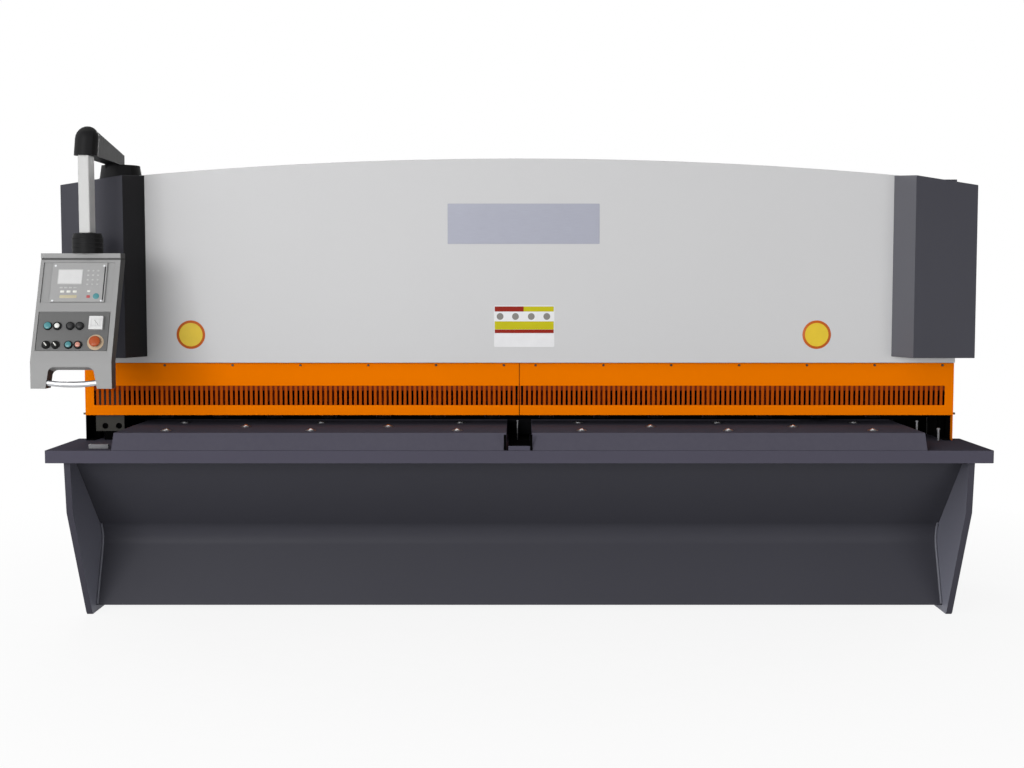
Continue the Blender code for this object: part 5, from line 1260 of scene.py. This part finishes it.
# %% Curtains and the slots beside the seam
blade_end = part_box("upper_blade")[1].x
hold_low, hold_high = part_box("hold_down_beam")
CURTAIN_DEPTHS, CURTAIN_HEIGHTS = (0.0100, 0.0140), (0.840, 1.298)
CURTAIN_CLEAR, HEM_CLEAR, HEM_WIDTH, HEM_TOP = 0.0015, 0.001, 0.060, 0.9945
SILL_FRONT, SILL_TOP = -0.318, 0.004
SKIRT_TOP = 1.295
END_PIN_REACH, END_PIN_SIZE = (0.0002, 0.0125), 0.011
END_PIN_BACK, END_PIN_UP = 0.004, 0.002
SEAM_SLOT_X, SEAM_SLOT_HALF, SEAM_SLOT_PROUD = 0.0143, 0.00575, 0.0003
SEAM_SLOT_CLEAR, SEAM_SLOT_EDGE, SKIRT_EDGE = 0.001, 0.00005, 0.0005
# Painted shade: near-black curtains, sills, hems, a skirt and two seam slots fill the dark gap behind the
# guard.
twins("{}_throat_shade_curtain", (blade_end + CURTAIN_CLEAR, frame_low.x - 2 * SEAL_GAP), CURTAIN_DEPTHS,
      CURTAIN_HEIGHTS, SEAL_EDGE)
twins("{}_throat_shade_sill", throat_reach, (SILL_FRONT, throat_back - SEAL_DEPTH - SEAL_GAP),
      (floor_of_throat, table_high.z + SILL_TOP), SKIRT_EDGE)
twins("{}_shade_curtain_hem", (blade_end - HEM_WIDTH, blade_end + HEM_CLEAR), CURTAIN_DEPTHS,
      (CURTAIN_HEIGHTS[0], HEM_TOP), SEAL_EDGE)
skirt_front = hold_high.y + SEAL_GAP
block("hold_down_shade_skirt", (hold_low.x + SEAL_GAP, hold_high.x - SEAL_GAP),
      (skirt_front, skirt_front + BACKING), (hold_low.z + SEAL_GAP, SKIRT_TOP), SKIRT_EDGE)
pin_front, pin_foot = guard_low.y + END_PIN_BACK, guard_low.z + END_PIN_UP
twins("guard_pin_{}", [guard_high.x + place for place in END_PIN_REACH],
      (pin_front, pin_front + END_PIN_SIZE), (pin_foot, pin_foot + END_PIN_SIZE), BAR_EDGE, dark_screws,
      (0, 1))
twins("seam_slot_shade_{}", (SEAM_SLOT_X - SEAM_SLOT_HALF, SEAM_SLOT_X + SEAM_SLOT_HALF),
      (guard_low.y - SEAM_SLOT_PROUD, guard_low.y - SEAM_SLOT_PROUD / 3),
      (SLOT_LOW + SEAM_SLOT_CLEAR, SLOT_HIGH - SEAM_SLOT_CLEAR), SEAM_SLOT_EDGE, shade_black,
      (0, 1))
print("curtains, sills, hems, one skirt, two pins and two seam slots")

# %% [markdown]
# ## Rings of the coupler
#
# The pendant turns in a ribbed rubber coupler below the drop tube. The solid is a plain drum, and
# three shallow rings round it give the ribs. A bump would not change its outline, so they are mesh.

# %% Rings of the coupler
coupler_low, coupler_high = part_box("pendant_coupler")
coupler_middle = (coupler_low + coupler_high) / 2
coupler_radius = (coupler_high.x - coupler_low.x) / 2
RIB_HALF, RIB_RISE, RIB_ROOT, RIB_SIDES = 0.0035, 0.0022, 0.96, 64
RIB_SHARES = (0.30, 0.52, 0.74)
ribs = []
for share in RIB_SHARES:
    height = coupler_low.z + (coupler_high.z - coupler_low.z) * share
    root, crest = coupler_radius * RIB_ROOT, coupler_radius + RIB_RISE
    profile = [(root, height - RIB_HALF), (crest, height - RIB_HALF / 2), (crest, height + RIB_HALF / 2),
               (root, height + RIB_HALF)]
    middle = Matrix.Translation((coupler_middle.x, coupler_middle.y, 0))
    ribs.append(moved(turned(profile, RIB_SIDES), middle))
publish("coupler_rings", joined(ribs), black_plastic, body_of_node["pendant_coupler"])
print("coupler rings:", len(ribs))

# %% [markdown]
# ## Oil tank and pipes
#
# Behind the panel a power pack drives the cylinders. Its tank has a bolted lid, a filler cap with a
# breather, and a level gauge. Steel pipes run from the valve block to the cylinders, and because
# they are rigid they are bent with short elbows and run square to the machine.

# %% Tank fittings
tank_low, tank_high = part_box("oil_tank")
LID_SCREWS, LID_SCREW_INSET, LID_SCREW_PITCH = 14, 0.030, 0.19305
LID_SCREW = (0.009, 0.006)
FILLER_PLACE = Vector((0.95, 0.58, tank_high.z))
FILLER_PROFILE = [(0.050, 0), (0.050, 0.008), (0.034, 0.010), (0.034, 0.030), (0.046, 0.032),
                  (0.046, 0.060), (0.040, 0.066)]
GAUGE_X, GAUGE_HALF, GAUGE_HEIGHTS, GAUGE_PROUD = -1.10, 0.020, (1.70, 1.90), 0.014
GAUGE_EDGE = 0.003
GLASS_HALF, GLASS_MARGIN, GLASS_DEPTHS = 0.008, 0.025, (0.0142, 0.0172)
lid = []
for number in range(LID_SCREWS):
    x = tank_low.x + LID_SCREW_INSET + number * LID_SCREW_PITCH
    for y in (tank_low.y + LID_SCREW_INSET, tank_high.y - LID_SCREW_INSET):
        lid.append(moved(screw_head(*LID_SCREW), Matrix.Translation((x, y, tank_high.z))))
publish("lid_screws", joined(lid), zinc_screws, "frame")
filler = moved(turned(FILLER_PROFILE), Matrix.Translation(FILLER_PLACE))
publish("filler_cap", filler, black_plastic, "frame")
block("level_gauge", (GAUGE_X - GAUGE_HALF, GAUGE_X + GAUGE_HALF),
      (tank_high.y, tank_high.y + GAUGE_PROUD), GAUGE_HEIGHTS, GAUGE_EDGE, black_plastic)
block("gauge_glass", (GAUGE_X - GLASS_HALF, GAUGE_X + GLASS_HALF),
      [tank_high.y + depth for depth in GLASS_DEPTHS],
      (GAUGE_HEIGHTS[0] + GLASS_MARGIN, GAUGE_HEIGHTS[1] - GLASS_MARGIN), SEAL_EDGE, oil_glass)
print("lid screws:", len(lid), "with a filler cap and a level gauge")

# %% [markdown]
# ## Bent pipes
#
# A rigid pipe runs straight and turns in short arcs. A smooth curve through its corners would sag
# between them, so each corner is replaced by a few points of an arc, and the route gets a round
# section as a bevelled curve before it becomes a mesh.

# %% Bent round stock
ARC_STEPS = 6
ROUND_STEPS = 4
PIPE_SMOOTH = math.radians(60)


def bent(corners, radius):
    """A route with its corners rounded: each corner becomes a short arc of points."""
    points = [corners[0]]
    for before, corner, after in zip(corners, corners[1:], corners[2:]):
        start = corner + (before - corner).normalized() * radius
        end = corner + (after - corner).normalized() * radius
        for step in range(ARC_STEPS + 1):
            share = step / ARC_STEPS
            points.append(start * (1 - share) ** 2 + corner * 2 * share * (1 - share) + end * share ** 2)
    return points + [corners[-1]]


def pipe(name, corners, finish, radius, bend):
    """Round stock along a bent route."""
    route = bpy.data.curves.new("route", "CURVE")
    route.dimensions = "3D"
    route.bevel_depth = radius
    route.bevel_resolution = ROUND_STEPS
    route.use_fill_caps = True
    line = route.splines.new("POLY")
    points = bent(corners, bend)
    line.points.add(len(points) - 1)
    for point, place in zip(line.points, points):
        point.co = (*place, 1)
    holder = bpy.data.objects.new("route", route)
    held = bpy.data.meshes.new_from_object(holder)
    shape = bmesh.new()
    shape.from_mesh(held)
    bpy.data.objects.remove(holder)
    bpy.data.curves.remove(route)
    bpy.data.meshes.remove(held)
    publish(name, shape, finish, "frame", smooth=PIPE_SMOOTH)


print("steps round each bend:", ARC_STEPS)

# %% [markdown]
# ## Weld beads
#
# The apron is welded to the inside of both legs. The bead follows the bend in the apron's sheet, and
# its crown catches the light, while its paint is a lighter copy of the frame's, a painted highlight;
# together they show as a pale streak from the bend down to the floor. It is thin round stock like a
# pipe, half sunk in the corner, so the same function bends it.

# %% Weld beads
BEAD_RADIUS, BEAD_BEND, BEAD_SUNK = 0.0065, 0.02, 0.6
# The bead's route in depth and height, from the table down to the floor.
BEAD_ROUTE = ((-0.250, 0.4519), (-0.2290, 0.4259), (-0.2150, 0.3786), (-0.2228, 0.3300), (-0.3400, 0.0420))
for end, side in (("left", -1), ("right", 1)):
    x = side * (frame_low.x - BEAD_RADIUS)
    corners = [Vector((x, y - BEAD_RADIUS * BEAD_SUNK, z)) for y, z in BEAD_ROUTE]
    pipe(f"{end}_weld_bead", corners, bead_paint, BEAD_RADIUS, BEAD_BEND)
print("weld beads: 2")

# %% [markdown]
# ## Pipes to the cylinders
#
# Two pipes carry oil from the valve block to the main cylinders. They leave side by side, one above
# the other, run along the machine and turn down into the cylinders' tops.

# %% Cylinder pipes
PIPE_RADIUS, PIPE_BEND = 0.011, 0.045
PIPE_HEIGHT, PIPE_DEPTH, PIPE_FALL = 2.105, 0.345, 0.10
PORT_INSET, PORT_PITCH, PORT_CLEAR, PIPE_STEP = 0.09, 0.18, 0.001, 0.035
valve_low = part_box("valve_block")[0]
cylinder_low, cylinder_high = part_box("right_main_cylinder")
cylinder_middle = (cylinder_low + cylinder_high) / 2
for number, (name, side) in enumerate((("left_pipe", -1), ("right_pipe", 1))):
    x = valve_low.x + PORT_INSET + number * PORT_PITCH
    far = side * cylinder_middle.x
    height = PIPE_HEIGHT + number * PIPE_STEP
    corners = [Vector((x, valve_low.y, height)), Vector((x, PIPE_DEPTH, height)),
               Vector((far, PIPE_DEPTH, height)), Vector((far, cylinder_middle.y, height + PIPE_FALL)),
               Vector((far, cylinder_middle.y, cylinder_high.z + PORT_CLEAR))]
    pipe(name, corners, pin_steel, PIPE_RADIUS, PIPE_BEND)
print("pipes:", 2, "of", round(2000 * PIPE_RADIUS), "mm")
